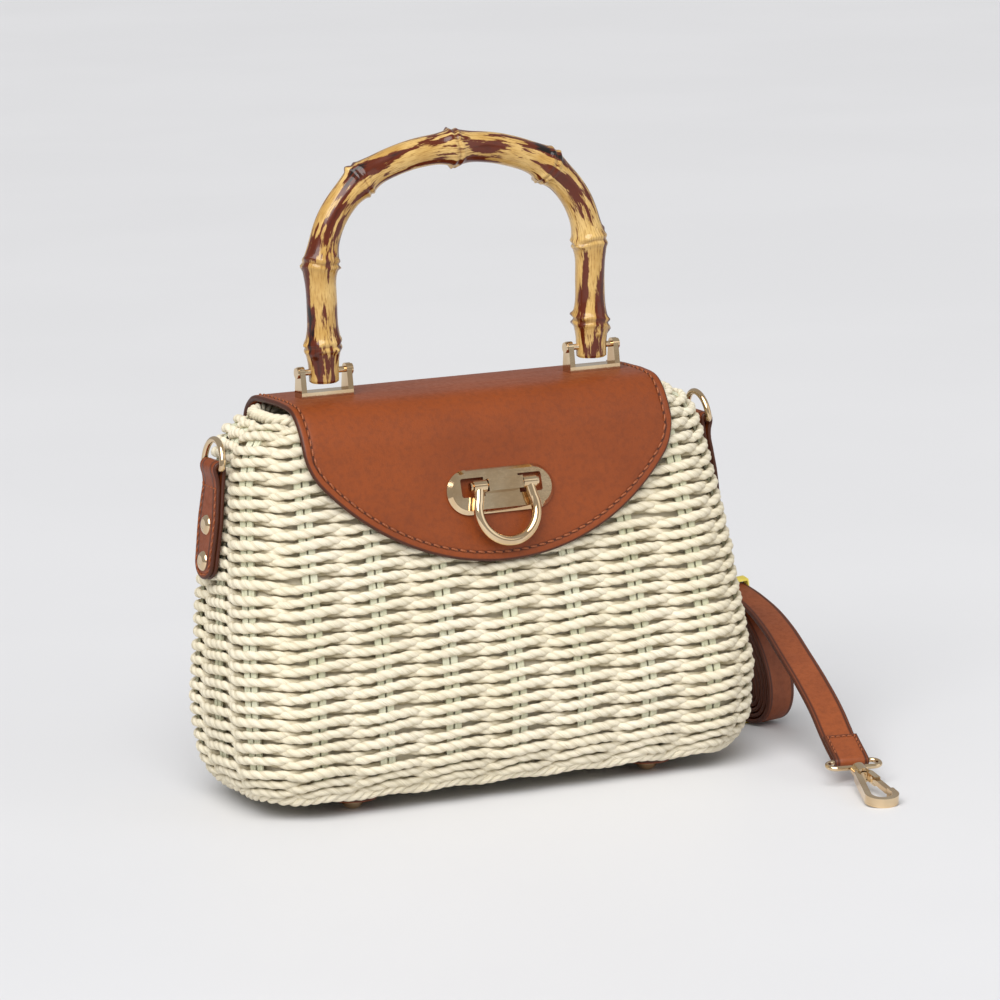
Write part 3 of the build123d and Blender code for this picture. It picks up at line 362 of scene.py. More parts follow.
BASE_STEP = 2.4
BASE_OPEN = 13.0  # half the width of the bare strip along the middle of the base
wall_rows = np.arange(ROW_PITCH, WALL_UP - 2.5, ROW_PITCH)
third = len(wall_rows) // 3
weave_low = twined_rows("weave_low", wall_rows[:third], STEP, 1.0)
twined_rows("weave_middle", wall_rows[third:2 * third], STEP)
twined_rows("weave_high", wall_rows[2 * third:], STEP)
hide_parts("basket_body")
base_rows = -np.arange(ROW_PITCH * 0.5, HALF_DEPTH - BASE_OPEN, ROW_PITCH)
for k, up in enumerate(base_rows):
    twined_rows("base_row_%02d" % (k + 1), [up], BASE_STEP)


def edge_braid(name, spine, out, rise, cord, spread_by, lap, material):
    """Three cords round a closed line. Each is a tube whose middle circles the line at `spread_by`
    once every `lap` millimetres, a third of a lap behind the one before it."""
    count = len(spine)
    length = np.linalg.norm(np.roll(spine, -1, axis=0) - spine, axis=1).sum()
    laps = int(round(length / lap))
    share = np.linspace(0, 1, count, endpoint=False)
    ring = np.linspace(0, 2 * np.pi, 8, endpoint=False)
    strands = np.arange(3)[:, None] * 2 * np.pi / 3
    turn = 2 * np.pi * laps * share[None, :] + strands
    middle = spine + (out * np.cos(turn)[..., None] + rise * np.sin(turn)[..., None]) * spread_by
    points = points_round(middle, out, rise, cord * np.cos(ring), cord * np.sin(ring))
    quads, steps = grid_faces(count, 8, True, True)
    faces = repeat_faces(quads, 3, count * 8)
    uv = np.tile(steps, (3, 1, 1))
    uv[..., 0] *= length / count / 10.0
    uv[..., 1] /= 8.0
    crest = np.full((3, count, 8), 1.0)
    piece = make_piece(name, points, [faces], material, [uv], crest=crest, tone=crest * 0.0)
    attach(piece, "basket")
    return piece


rim_around = np.linspace(0, 1, 420, endpoint=False)
flat_up = np.array([0.0, 0.0, 1.0])
rim_line = skin(rim_around, WALL_UP)
rim_along = unit(np.roll(rim_line, -1, axis=0) - np.roll(rim_line, 1, axis=0))
rim_out = unit(np.cross(rim_along, flat_up))
rim_spine = rim_line - rim_out * 2.4 - flat_up * 1.3
rim_up = np.broadcast_to(flat_up, rim_spine.shape)
edge_braid("rim_braid", rim_spine, rim_out, rim_up, 1.5, 1.15, 16.0, cord_paper)
foot_wave = 1.6 + 1.1 * np.cos(2 * np.pi * STAKES * rim_around)
foot_point, foot_out, foot_rise, _ = skin_frame(rim_around, foot_wave)
foot_spine = foot_point - foot_out * 1.6
edge_braid("base_braid", foot_spine, foot_out, foot_rise, 1.6, 1.1, 13.5, cord_paper)

# ----------------------------------------
# The upright stakes: pairs of flat pale strips that the cord is woven round. They show only as
# thin lines in the gaps, and run from under the base up into the rim.
# ----------------------------------------
STAKE_APART = 1.75
STAKE_WIDE = 2.7
STAKE_THICK = 0.9
STAKE_DEEP = 3.3
STAKE_ROWS = 60  # cuts along each strip
# Its last colour is painted shade, laid in the low lines of the creases.
stake_paper = paper_material("stake_paper", "E6E6D2", "D2D2B4", "A9A47C")
stake_ups = np.linspace(-HALF_DEPTH + BASE_OPEN, WALL_UP - 1.0, STAKE_ROWS)
stake_at = np.arange(STAKES) / STAKES
stake_at = np.broadcast_to(stake_at[:, None], (STAKES, STAKE_ROWS))
point, out, _, along = skin_frame(stake_at, stake_ups[None, :])
for side, name in ((-1, "left"), (1, "right")):
    middle = point - out * STAKE_DEEP + along * side * STAKE_APART
    points = np.stack([
        middle + along * (a * STAKE_WIDE / 2) + out * (b * STAKE_THICK / 2)
        for a, b in ((-1, -1), (1, -1), (1, 1), (-1, 1))
    ], axis=2)
    quads, steps = grid_faces(STAKE_ROWS, 4, False, True)
    size = STAKE_ROWS * 4
    faces = repeat_faces(quads, STAKES, size)
    uv = np.tile(steps * (0.3, 0.25), (STAKES, 1, 1))
    ends = np.array([[0, 1, 2, 3], [size - 1, size - 2, size - 3, size - 4]])
    caps = repeat_faces(ends, STAKES, size)
    mark = np.ones((STAKES, STAKE_ROWS, 4))
    strips = make_piece(
        "stakes_" + name, points, [faces, caps], stake_paper,
        [uv, np.zeros((len(caps), 4, 2))], smooth=False, crest=mark, tone=mark * 0.0,
    )
    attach(strips, "basket")

# ----------------------------------------
# The lining: thin unbleached cotton, glued inside the weave and over the floor of the basket. It
# is a little wrinkled and shows only when the lid is open.
# ----------------------------------------
LINING_IN = 5.4
LINING_ROUND = 260
lining_ups = np.concatenate([
    np.linspace(WALL_UP - 1.0, 5.0, 60),
    np.linspace(2.0, -HALF_DEPTH + 11.0, 16),
])
lining_around = np.linspace(0, 1, LINING_ROUND, endpoint=False)
point, out, _, _ = skin_frame(lining_around[None, :], lining_ups[:, None])
wrinkle = 0.22 * np.sin(2 * np.pi * (lining_around * 23 + 0.4 * np.sin(lining_ups[:, None] / 17.0)))
waver = 5.0 * np.sin(2 * np.pi * lining_around * 3)
wrinkle = wrinkle * np.sin(lining_ups[:, None] / 9.0 + waver) + 0.22
cloth = point - out * (LINING_IN + wrinkle[..., None])
cloth[..., 2] = np.maximum(cloth[..., 2], BASE_Z + LINING_IN)
quads, _ = grid_faces(len(lining_ups), LINING_ROUND, False, True)
cotton, tree, shader = new_material("cotton", Roughness=0.9, Sheen_Weight=0.25)
place = place_on(tree)
warp, weft = [
    add_node(
        tree, "TexWave", {"Vector": place, "Scale": 900.0, "Distortion": 1.5}, bands_direction=way,
    ).outputs["Fac"]
    for way in ("X", "Z")
]
threads = combine(tree, "MULTIPLY", warp, weft)
cloud = spread(tree, mottle(tree, place, 40.0), 0.3, 0.7)
shade = blend_paint(tree, cloud, "D9CDB0", "E6DCC4")
tree.links.new(blend_paint(tree, threads, shade, "EFE8D6"), shader.inputs["Base Color"])
relief(tree, shader, threads, 0.3, 0.0002)
cloth_points = np.concatenate([cloth.reshape(-1, 3), cloth[-1].mean(axis=0, keepdims=True)])
last_ring = (len(lining_ups) - 1) * LINING_ROUND + np.arange(LINING_ROUND)
fan_middle = np.full(LINING_ROUND, len(cloth_points) - 1)
fan = np.stack([np.roll(last_ring, -1), last_ring, fan_middle], axis=1)
lining = make_piece("lining_cloth", cloth_points, [quads, fan], cotton)
thicken = lining.modifiers.new("cloth_thickness", "SOLIDIFY")
thicken.thickness = 0.6 * MM
thicken.offset = 0.0
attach(lining, "basket")
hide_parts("lining")

# ----------------------------------------
# The lid: two plies of tan leather glued and stitched round the edge. Its tail is riveted to the
# back of the basket, it bends over the back edge as a hinge, and its round end hangs in front.
# ----------------------------------------
RIM_Z = BASE_Z + BASKET_HIGH
LEATHER = 2.4
LID_HALF = 78.0
TAIL_BOTTOM = RIM_Z - 41.0
TAIL_CORNER = 12.0
TIP_Z = 92.0
SIDE_Z = RIM_Z - 18.0
TIP_CORNER = 24.0
CROWN_MID = RIM_Z + 5.0 - LEATHER / 2
HINGE_Z = RIM_Z - 10.5
SEAM_IN = 3.4


def off_wall(z, lift, side):
    """Depth and height of a point `lift` off the front wall (side -1) or back wall (side 1) at
    height z, along the wall's own normal."""
    inset = LEVELS[:, 2] if side < 0 else LEVELS[:, 3]
    lean = np.arctan2(np.interp(z + 2.0, LEVEL_Z, inset) - np.interp(z - 2.0, LEVEL_Z, inset), 4.0)
    wall = side * (HALF_DEPTH - np.interp(z, LEVEL_Z, inset))
    return wall + side * lift * np.cos(lean), z + lift * np.sin(lean)


def smooth_line(points, step):
    """Even points on a curve through the given ones, and their distances along it. Between two of
    them the curve is a cubic whose end slopes are the local slopes of the points by distance."""
    points = np.asarray(points, float)
    at = run_of(points)
    slope = np.gradient(points, at, axis=0)
    fine = np.linspace(0, at[-1], int(at[-1] / step * 4))
    k = np.clip(np.searchsorted(at, fine, side="right") - 1, 0, len(at) - 2)
    gap = np.diff(at)[k][:, None]
    t = (fine[:, None] - at[k][:, None]) / gap
    line = (2 * t**3 - 3 * t**2 + 1) * points[k] + (3 * t**2 - 2 * t**3) * points[k + 1]
    line = line + gap * ((t**3 - 2 * t**2 + t) * slope[k] + (t**3 - t**2) * slope[k + 1])
    along = run_of(line)
    even = np.linspace(0, along[-1], int(along[-1] / step) + 1)
    return along_line(even, along, line), even


hinge_y = HALF_DEPTH - np.interp(HINGE_Z, LEVEL_Z, LEVELS[:, 3]) + 0.5 + LEATHER / 2 + 1.0
lid_line, lid_down = smooth_line(
    [
        *[off_wall(TAIL_BOTTOM + up, 1.45, 1) for up in (0.0, 9.0, 18.5)],
        (hinge_y + 0.25, HINGE_Z - 5.5),
        (hinge_y, HINGE_Z),
        (hinge_y - 2.2, CROWN_MID - 6.6),
        (hinge_y - 8.0, CROWN_MID - 1.7),
        (21.0, CROWN_MID - 0.2),
        (12.5, CROWN_MID),
        (1.5, CROWN_MID),
        (-9.0, CROWN_MID - 1.5),
        *[off_wall(z, 1.75, -1) for z in (139.8, 133.0, 127.5, 112.0, 96.9, 84.0)],
    ],
    0.5,
)
lid_slope = np.gradient(lid_line, lid_down, axis=0)
crest_row = int(np.argmax(lid_line[:, 1]))


def on_lid(across, down):
    """Middle of the leather, and its outward direction, for flat places on the lid: the distance
    across from its middle line and the distance along it from the bottom of the tail."""
    y, z, dy, dz = [np.interp(down, lid_down, way) for way in (*lid_line.T, *lid_slope.T)]
    return np.stack([across, y, z], axis=-1), unit(np.stack([np.zeros_like(y), dz, -dy], axis=-1))


tip_round = (LID_HALF**2 + (SIDE_Z - TIP_Z) ** 2) / (2 * (SIDE_Z - TIP_Z))
corner_x = LID_HALF - TIP_CORNER
corner_z = TIP_Z + tip_round - np.sqrt((tip_round - TIP_CORNER) ** 2 - corner_x**2)


def lid_ends(across):
    """Flat distances at which the lid starts and ends for a place across it. The tail has round
    corners; the tip is one wide arc that turns into the sides with smaller arcs."""
    x = np.abs(across)
    over = np.clip(x - (LID_HALF - TAIL_CORNER), 0, TAIL_CORNER)
    start_z = TAIL_BOTTOM + TAIL_CORNER - np.sqrt(TAIL_CORNER**2 - over**2)
    arc = TIP_Z + tip_round - np.sqrt(tip_round**2 - x**2)
    turn = corner_z - np.sqrt(np.maximum(TIP_CORNER**2 - (x - corner_x) ** 2, 0.0))
    end_z = np.where(x < corner_x * tip_round / (tip_round - TIP_CORNER), arc, turn)
    start = np.interp(start_z, lid_line[:crest_row, 1], lid_down[:crest_row])
    end = np.interp(-end_z, -lid_line[crest_row:, 1], lid_down[crest_row:])
    return start, end


def leather_sheet(name, across, down, edge, lay_out, thick, material, seam=0.0):
    """A leather piece from flat places on a grid. Its two faces stand half the thickness off the
    middle; towards the edge that falls along a quarter ellipse, and the border is shared. The
    front is drawn in along the seam. Marks carry each point's distance from the edge."""
    middle, out = lay_out(across, down)
    share = np.clip(edge / (thick / 2), 0.0, 1.0)
    half = thick / 2 * np.sqrt(1 - (1 - share) ** 2)
    drawn = 0.28 * np.exp(-(((edge - seam) / 0.75) ** 2)) if seam else 0.0
    inner = np.zeros(across.shape, bool)
    inner[1:-1, 1:-1] = True
    ids = np.arange(inner.size).reshape(inner.shape)
    back_ids = np.where(inner, inner.size + np.cumsum(inner).reshape(inner.shape) - 1, ids)
    quads, _ = grid_faces(*across.shape, False, False)
    front = (middle + out * (half - drawn)[..., None]).reshape(-1, 3)
    back = (middle - out * half[..., None])[inner]
    flat = np.stack([across, down], axis=-1).reshape(-1, 2)[quads] / 10.0
    return make_piece(
        name, np.concatenate([front, back]), [quads, back_ids.ravel()[quads][:, ::-1]], material,
        [flat, flat[:, ::-1]], edge=np.concatenate([edge.ravel(), edge[inner]]),
    )


def inside_line(outline, inset, pitch):
    """Places every `pitch` along a closed flat outline drawn in by `inset`, and the directions
    there. The outline runs anticlockwise, so its inside is on the left."""
    loop = np.concatenate([outline, outline[:1]])
    run = run_of(loop)
    loop = along_line(np.arange(0, run[-1], 0.5), run, loop)
    along = unit(np.roll(loop, -3, axis=0) - np.roll(loop, 3, axis=0))
    loop = loop + np.stack([-along[:, 1], along[:, 0]], axis=1) * inset
    closed = np.concatenate([loop, loop[:1]])
    run = run_of(closed)
    count = int(round(run[-1] / pitch))
    at = np.arange(count) * run[-1] / count
    place = along_line(at, run, closed)
    return place, unit(along_line(at + 0.5, run, closed) - place)


def stitches(name, place, along, lay_out, lift, thread, long=2.9, wide=0.42, rise=0.42):
    """Thread stitches on a sheet. Each is a short tube along the seam whose middle bows up as one
    minus the square of the way along and whose radius closes at both ends."""
    way = np.array([-1.0, -0.8, -0.3, 0.3, 0.8, 1.0])
    swell = np.array([0.25, 0.85, 1.0, 1.0, 0.85, 0.25])
    slant = np.stack([-along[:, 1], along[:, 0]], axis=1) * 0.12
    flat = place[:, None] + (along + slant)[:, None] * (way * long / 2)[None, :, None]
    middle, out = lay_out(flat[..., 0], flat[..., 1])
    middle = middle + out * (lift - 0.22 + rise * (1 - way**2) * 0.7)[None, :, None]
    direction = unit(np.gradient(middle, axis=1))
    side = unit(np.cross(out, direction))
    ring = np.linspace(0, 2 * np.pi, 6, endpoint=False)
    swell = swell[:, None] * wide
    points = points_round(middle, side, out, swell * np.cos(ring), swell * np.sin(ring))
    quads, _ = grid_faces(6, 6, False, True)
    caps = np.array([[0, 1, 2, 3, 4, 5], [35, 34, 33, 32, 31, 30]])
    faces = [repeat_faces(group, len(place), 36) for group in (quads, caps)]
    return make_piece(name, points, faces, thread)


def leather_material(name, light, dark, rim, seam, grain=1.0, rough=0.46):
    """Vegetable tanned leather: a soft cloudy tone, fine pores, a darker painted edge and a slight
    shadow along the seam."""
    material, tree, shader = new_material(
        name, Coat_Weight=0.05, Coat_Roughness=0.3, Specular_IOR_Level=0.35,
    )
    place = place_on(tree)
    edge = mark_of(tree, "edge")
    cloud = mottle(tree, place, 22.0, detail=4.0)
    pores = add_node(tree, "TexVoronoi", {"Vector": place, "Scale": 1400.0}, feature="F1")
    pores = pores.outputs["Distance"]
    creases = mottle(tree, place, 420.0, detail=5.0, rough=0.65)
    body = layer(tree, cloud, 0.28, 0.72, dark, light)
    creased = combine(tree, "MULTIPLY", spread(tree, creases, 0.40, 0.70), 0.22)
    body = blend_paint(tree, creased, body, rim)
    if seam:
        off = combine(tree, "ABSOLUTE", combine(tree, "SUBTRACT", edge, seam))
        body = layer(tree, off, 0.9, 0.1, body, rim)
    colour = layer(tree, edge, 1.1, 0.5, body, rim)
    tree.links.new(colour, shader.inputs["Base Color"])
    vary_gloss(tree, shader, creases, rough - 0.05, rough + 0.1)
    relief(tree, shader, combine(tree, "ADD", pores, creases), 0.22 * grain, 0.00025)
    return material


def thread_material(name, colour, dark):
    """Waxed thread: fine twist lines with a little sheen."""
    material, tree, shader = new_material(name, Roughness=0.5)
    fibres = mottle(tree, place_on(tree), 2600.0)
    colour_by(tree, shader, fibres, dark, colour)
    relief(tree, shader, fibres, 0.3, 0.0002)
    return material


tan_leather = leather_material("tan_leather", "853D10", "78350C", "431B07", SEAM_IN)
tan_thread = thread_material("tan_thread", "A55A2C", "713717")
near_edge = np.array([0.0, 0.06, 0.25, 0.6, 1.2, 2.0, 2.7, 3.4, 4.1, 5.0])
lid_x = np.concatenate([
    near_edge - LID_HALF,
    np.linspace(-LID_HALF + 7.0, LID_HALF - 7.0, 72),
    (LID_HALF - near_edge)[::-1],
])
start, end = lid_ends(lid_x)
lid_share = np.linspace(0, 1, 84)[1:-1, None]
lid_d = np.concatenate([
    start + near_edge[:, None],
    start + 5.0 + lid_share * (end - start - 10.0),
    end - near_edge[::-1, None],
])
lid_x = np.broadcast_to(lid_x, lid_d.shape)
from_side = LID_HALF - np.abs(lid_x)
tilt = [np.sqrt(1 + np.clip(np.gradient(ends, lid_x[0]), -40, 40) ** 2) for ends in (start, end)]
lid_edge = np.minimum(from_side, np.minimum((lid_d - start) / tilt[0], (end - lid_d) / tilt[1]))
lid_edge[[0, -1]] = 0.0
lid_edge[:, [0, -1]] = 0.0
lid_leather = leather_sheet(
    "lid_leather", lid_x, lid_d, lid_edge, on_lid, LEATHER, tan_leather, SEAM_IN,
)
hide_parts("flap", "flap_back")
edge_x = LID_HALF * np.sin(np.linspace(-np.pi / 2, np.pi / 2, 400))
starts, ends = lid_ends(edge_x)
outline = np.concatenate([
    np.stack([edge_x, starts], axis=1),
    np.stack([edge_x, ends], axis=1)[::-1],
])
seam_place, seam_along = inside_line(outline, SEAM_IN, 3.7)
lid_stitches = stitches("lid_stitches", seam_place, seam_along, on_lid, LEATHER / 2, tan_thread)
# The bend runs forwards and up from the hinge.
for piece in (lid_leather, lid_stitches):
    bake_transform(piece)

# ----------------------------------------
# The metal: die-cast clasp, ring, brackets, rings, rivets and snap hooks, polished and plated pale
# gold, and the plain steel of the nuts, screws, plates and magnet that are out of sight.
# ----------------------------------------
def polished_metal(name, bright, warm, rough, scratch):
    """Plated metal: the tone drifts a little, fine wiped scratches break the gloss."""
    material, tree, shader = new_material(name, Metallic=1.0)
    place = place_on(tree)
    wiped = mottle(tree, place, 700.0, (1.0, 6.0, 2.0), 4.0)
    colour_by(tree, shader, mottle(tree, place, 60.0), bright, warm)
    vary_gloss(tree, shader, wiped, rough, rough + scratch)
    relief(tree, shader, wiped, 0.03, 0.0001)
    return material


pale_gold = polished_metal("pale_gold", "E2CBA8", "D0B189", 0.05, 0.07)
plain_steel = polished_metal("plain_steel", "C9CBCD", "B4B6B8", 0.26, 0.14)
GOLD_NODES = [
    "foot_studs", "flap_rivets", "clasp_plate", "clasp_pin", "clasp_ring",
    *[kind + "_left" for kind in ("bracket", "handle_pin", "ring", "tab_rivets")],
    *[kind + "_right" for kind in ("bracket", "handle_pin", "ring", "tab_rivets")],
    *[kind + end for kind in ("strap_loop", "hook", "hook_gate") for end in ("_front", "_back")],
]
STEEL_NODES = [
    "foot_nuts", "clasp_backing", "snap_magnet", "snap_keeper",
    "bracket_plate_left", "bracket_plate_right", "bracket_screws",
]
for node_names, finish in ((GOLD_NODES, pale_gold), (STEEL_NODES, plain_steel)):
    for node_name in node_names:
        if not nodes[node_name].material_slots:
            nodes[node_name].data.materials.append(finish)
        for material_slot in nodes[node_name].material_slots:
            material_slot.material = finish

# ----------------------------------------
# The feet: four metal studs through the base, each with a round of leather clamped under its head.
# The leather's cut edge is rounded over and burnished.
# ----------------------------------------
FOOT_AT = np.array([(x, y) for x in (-63.0, 63.0) for y in (-23.0, 23.0)])
# Distance from the stud's middle line and height, round the section of a washer.
WASHER = np.array([
    (1.4, 4.05), (8.6, 4.0), (9.5, 4.2), (10.0, 4.8), (10.0, 5.7), (9.6, 6.3), (8.8, 6.5), (1.4, 6.5),
])
WASHER_ROUND = 48
spin = np.linspace(0, 2 * np.pi, WASHER_ROUND, endpoint=False)
radius = WASHER[:, 0][None, :, None]
washer_points = np.stack(np.broadcast_arrays(
    FOOT_AT[:, 0][:, None, None] + radius * np.cos(spin),
    FOOT_AT[:, 1][:, None, None] + radius * np.sin(spin),
    WASHER[:, 1][None, :, None],
), axis=-1)
quads, _ = grid_faces(len(WASHER), WASHER_ROUND, True, True)
faces = repeat_faces(quads, len(FOOT_AT), len(WASHER) * WASHER_ROUND)
from_rim = np.interp(WASHER[:, 0], [8.6, 10.0], [5.0, 0.4])[None, :, None]
from_rim = np.broadcast_to(from_rim, washer_points.shape[:3])
washers = make_piece("foot_leathers", washer_points, [faces], tan_leather, edge=from_rim)
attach(washers, "basket")
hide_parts("foot_washers")

# ----------------------------------------
# The handle: a length of cane bent over heat into an arch, scorched for pattern and varnished.
# Its joints stand out as double ridges with small root knobs, and its ends are cut square.
# ----------------------------------------
HANDLE_Y = 7.0
LEG_X = 57.0
PIN_Z = RIM_Z + 5.0 + 9.8
CANE_R = 5.75
CANE_ROUND = 48
END_ROUND = 0.9
# Half the arch, from a leg's foot to the top: distance from the middle, and height over the pins.
HALF_ARCH = np.array([
    (LEG_X, -4.4), (LEG_X, 10.0), (LEG_X, 25.5), (LEG_X, 41.0),
    (51.8, 58.5), (39.5, 72.0), (21.5, 79.6), (0.0, 82.0),
])
arch = np.concatenate([HALF_ARCH * (-1, 1), HALF_ARCH[-2::-1]]) + (0.0, PIN_Z)
cane_line, cane_along = smooth_line(arch, 0.6)
# Every second point of the arch is at a joint.
JOINT_AT = np.array([
    cane_along[np.argmin(np.linalg.norm(cane_line - point, axis=1))] for point in arch[1::2]
])
cane_draws = np.random.default_rng(5)
ring_turn = np.linspace(0, 2 * np.pi, CANE_ROUND, endpoint=False)
cane_radius = np.full((len(cane_along), CANE_ROUND), CANE_R)
cane_radius = cane_radius * (1 + 0.03 * np.cos(2 * ring_turn + 0.6))
cane_radius = cane_radius + 0.12 * np.sin(cane_along[:, None] / 19.0)
joint_mark = np.zeros_like(cane_radius)
for joint in JOINT_AT:
    phase = cane_draws.uniform(0, 2 * np.pi, 2)
    wave = 0.7 * np.sin(ring_turn + phase[0]) + 0.35 * np.sin(3 * ring_turn + phase[1])
    off = cane_along[:, None] - joint - wave
    cane_radius += 1.2 * np.exp(-((off / 5.0) ** 2)) + 0.45 * np.exp(-(((off - 1.5) / 0.75) ** 2))
    cane_radius += 0.5 * np.exp(-(((off + 1.5) / 0.8) ** 2)) - 0.25 * np.exp(-((off / 0.6) ** 2))
    joint_mark += np.exp(-((off / 0.7) ** 2))
    for _ in range(10):
        at, turn_at = cane_draws.normal(0, 1.7), cane_draws.uniform(0, 2 * np.pi)
        turned = (ring_turn - turn_at + np.pi) % (2 * np.pi) - np.pi
        knob = np.exp(-(((off - at) / 0.9) ** 2 + (turned * 6.5 / 1.1) ** 2))
        cane_radius += cane_draws.uniform(0.4, 1.15) * knob
from_end = np.minimum(cane_along, cane_along[-1] - cane_along)[:, None]
into_end = np.maximum(END_ROUND - from_end, 0.0)
cane_radius -= END_ROUND - np.sqrt(np.maximum(END_ROUND**2 - into_end**2, 0.0))
ahead = unit(np.gradient(cane_line, cane_along, axis=0))
outward = np.stack([-ahead[:, 1], np.zeros(len(ahead)), ahead[:, 0]], axis=1)
cane_middle = np.stack([cane_line[:, 0], np.full(len(ahead), HANDLE_Y), cane_line[:, 1]], axis=1)
cane_points = points_round(
    cane_middle, outward, np.array([0.0, 1.0, 0.0]),
    cane_radius * np.cos(ring_turn), cane_radius * np.sin(ring_turn),
)
quads, steps = grid_faces(len(cane_along), CANE_ROUND, False, True)
count = cane_points[..., 0].size
first = np.arange(CANE_ROUND)
last = count - CANE_ROUND + first
cap_a = np.stack([np.roll(first, -1), first, np.full(CANE_ROUND, count)], axis=1)
cap_b = np.stack([last, np.roll(last, -1), np.full(CANE_ROUND, count + 1)], axis=1)
cane_points = np.concatenate([cane_points.reshape(-1, 3), cane_middle[[0, -1]]])
uv = steps * (0.06, 1.0 / CANE_ROUND)
caps = [np.zeros((CANE_ROUND, 3, 2))] * 2
scorch = np.broadcast_to(0.5 + 0.16 * np.cos(ring_turn + 0.7), (len(cane_along), CANE_ROUND)).copy()
# Each scorch: the joint it is at, how far past it, its length, where it faces, its reach and depth.
for joint, past, long, facing, reach, depth in (
    (0, 8.0, 16.0, -0.1, 0.75, 1.4), (2, -2.0, 9.0, -0.2, 1.0, 1.5), (4, -2.0, 10.0, -0.4, 1.15, 1.5),
    (3, 0.0, 7.0, 0.0, 0.9, 0.7), (6, -2.0, 10.0, 0.1, 0.8, 1.4), (5, -4.0, 12.0, -1.2, 0.7, 1.0),
    (1, 3.0, 6.0, -0.9, 0.9, 0.9), (2, 14.0, 9.0, -0.9, 0.7, 0.75),
):
    turned = (ring_turn - facing + np.pi) % (2 * np.pi) - np.pi
    off = (cane_along[:, None] - JOINT_AT[joint] - past) / long
    scorch = np.maximum(scorch, depth * np.exp(-(off**2 + (turned / reach) ** 2)))
cane_varnish, tree, shader = new_material(
    "varnished_cane", Roughness=0.3, Specular_IOR_Level=0.2, Coat_Weight=0.5, Coat_Roughness=0.05,
)
lay = add_node(tree, "UVMap", uv_map="lay").outputs[0]
place = place_on(tree)
burnt = mark_of(tree, "scorch")
ringed = mark_of(tree, "ringed")
fibre = mottle(tree, lay, 1.0, (2.0, 60.0, 1.0), 5.0, 0.6)
streak = mottle(tree, lay, 1.0, (0.42, 9.0, 1.0), 5.0, 0.6)
blotch = mottle(tree, place, 55.0, detail=4.0)
cane_tone = layer(tree, blotch, 0.3, 0.7, "B58C48", "D6B472")
cane_tone = layer(tree, fibre, 0.45, 0.75, cane_tone, "8F6428")
red = combine(tree, "MULTIPLY", spread(tree, streak, 0.51, 0.66), 0.9)
cane_tone = blend_paint(tree, red, cane_tone, "6A2704")
ragged = combine(tree, "MULTIPLY", burnt, spread(tree, streak, 0.36, 0.66))
cane_tone = layer(tree, ragged, 0.24, 0.36, cane_tone, "561D03")
cane_tone = layer(tree, ragged, 0.52, 0.8, cane_tone, "120804")
cane_tone = layer(tree, ringed, 0.4, 1.6, cane_tone, "5A2A0C")
tree.links.new(cane_tone, shader.inputs["Base Color"])
relief(tree, shader, fibre, 0.12, 0.0003)
cane = make_piece(
    "cane_handle", cane_points, [quads, cap_a, cap_b], cane_varnish, [uv] + caps,
    scorch=np.concatenate([scorch.ravel(), [0, 0]]),
    ringed=np.concatenate([joint_mark.ravel(), [0, 0]]),
)
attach(cane, "handle")
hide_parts("handle")

# ----------------------------------------
# The strap tabs: on each end a leather strip folded through the D-ring, waisted, stitched round
# its edge through both plies, and riveted to the weave.
# ----------------------------------------
TAB_HALF = 21.75
TAB_MID_Z = 132.0 - TAB_HALF
TAB_PLY = 1.75
TAB_SEAM = 1.7
TIP_AT = 14.25
TIP_LONG = 7.5
TIP_HALF = 8.3
tab_route, tab_run = smooth_line(
    [
        (-21.7, 1.1), (-10.0, 1.1), (4.0, 1.1), (14.0, 1.1), (19.0, 1.12), (21.75, 1.2),
        (23.1, 1.7), (23.65, 3.0), (23.1, 4.3), (21.75, 4.85), (20.0, 4.5), (18.0, 3.65),
        (15.0, 3.02), (10.0, 2.92), (0.0, 2.92), (-10.0, 2.92), (-21.7, 2.92),
    ],
    0.3,
)
tab_slope = np.gradient(tab_route, tab_run, axis=0)
inset = LEVELS[:, 1]
tab_lean = np.arctan2(np.diff(np.interp([TAB_MID_Z - 2, TAB_MID_Z + 2], LEVEL_Z, inset))[0], 4.0)
tab_end = HALF_WIDTH - np.interp(TAB_MID_Z, LEVEL_Z, inset)
outer = tab_run[-1]
tab_rows = np.concatenate([
    near_edge[:7] * 0.9,
    np.linspace(3.0, outer - 3.0, 110),
    (outer - near_edge[:7] * 0.9)[::-1],
])
tab_up = np.interp(tab_rows, tab_run, tab_route[:, 0])
tip_share = np.clip((-TIP_AT - tab_up) / TIP_LONG, 0.0, 0.999)
wide_at = [-TIP_AT, -9.5, -4.0, 2.0, 9.0, 15.0, TAB_HALF]
tab_wide = np.interp(tab_up, wide_at, [TIP_HALF, 8.55, 9.0, 9.1, 8.3, 7.45, 7.2])
tab_wide = np.where(tab_up < -TIP_AT, TIP_HALF * np.sqrt(1 - tip_share**2), tab_wide)[:, None]
side_share = np.array([0.86, 0.93, 0.97, 0.993, 1.0])
tab_share = np.concatenate([-side_share[::-1], np.linspace(-0.78, 0.78, 19), side_share])[None, :]
tab_x = tab_wide * tab_share
down_to_tip = TIP_LONG * np.sqrt(np.clip(1 - (tab_x / TIP_HALF) ** 2, 0, 1))
down_to_tip = tab_up[:, None] + TIP_AT + down_to_tip
tab_edge = np.minimum(tab_wide - np.abs(tab_x), np.maximum(down_to_tip, 0.0) * 0.8)
tab_edge[[0, -1]] = 0.0
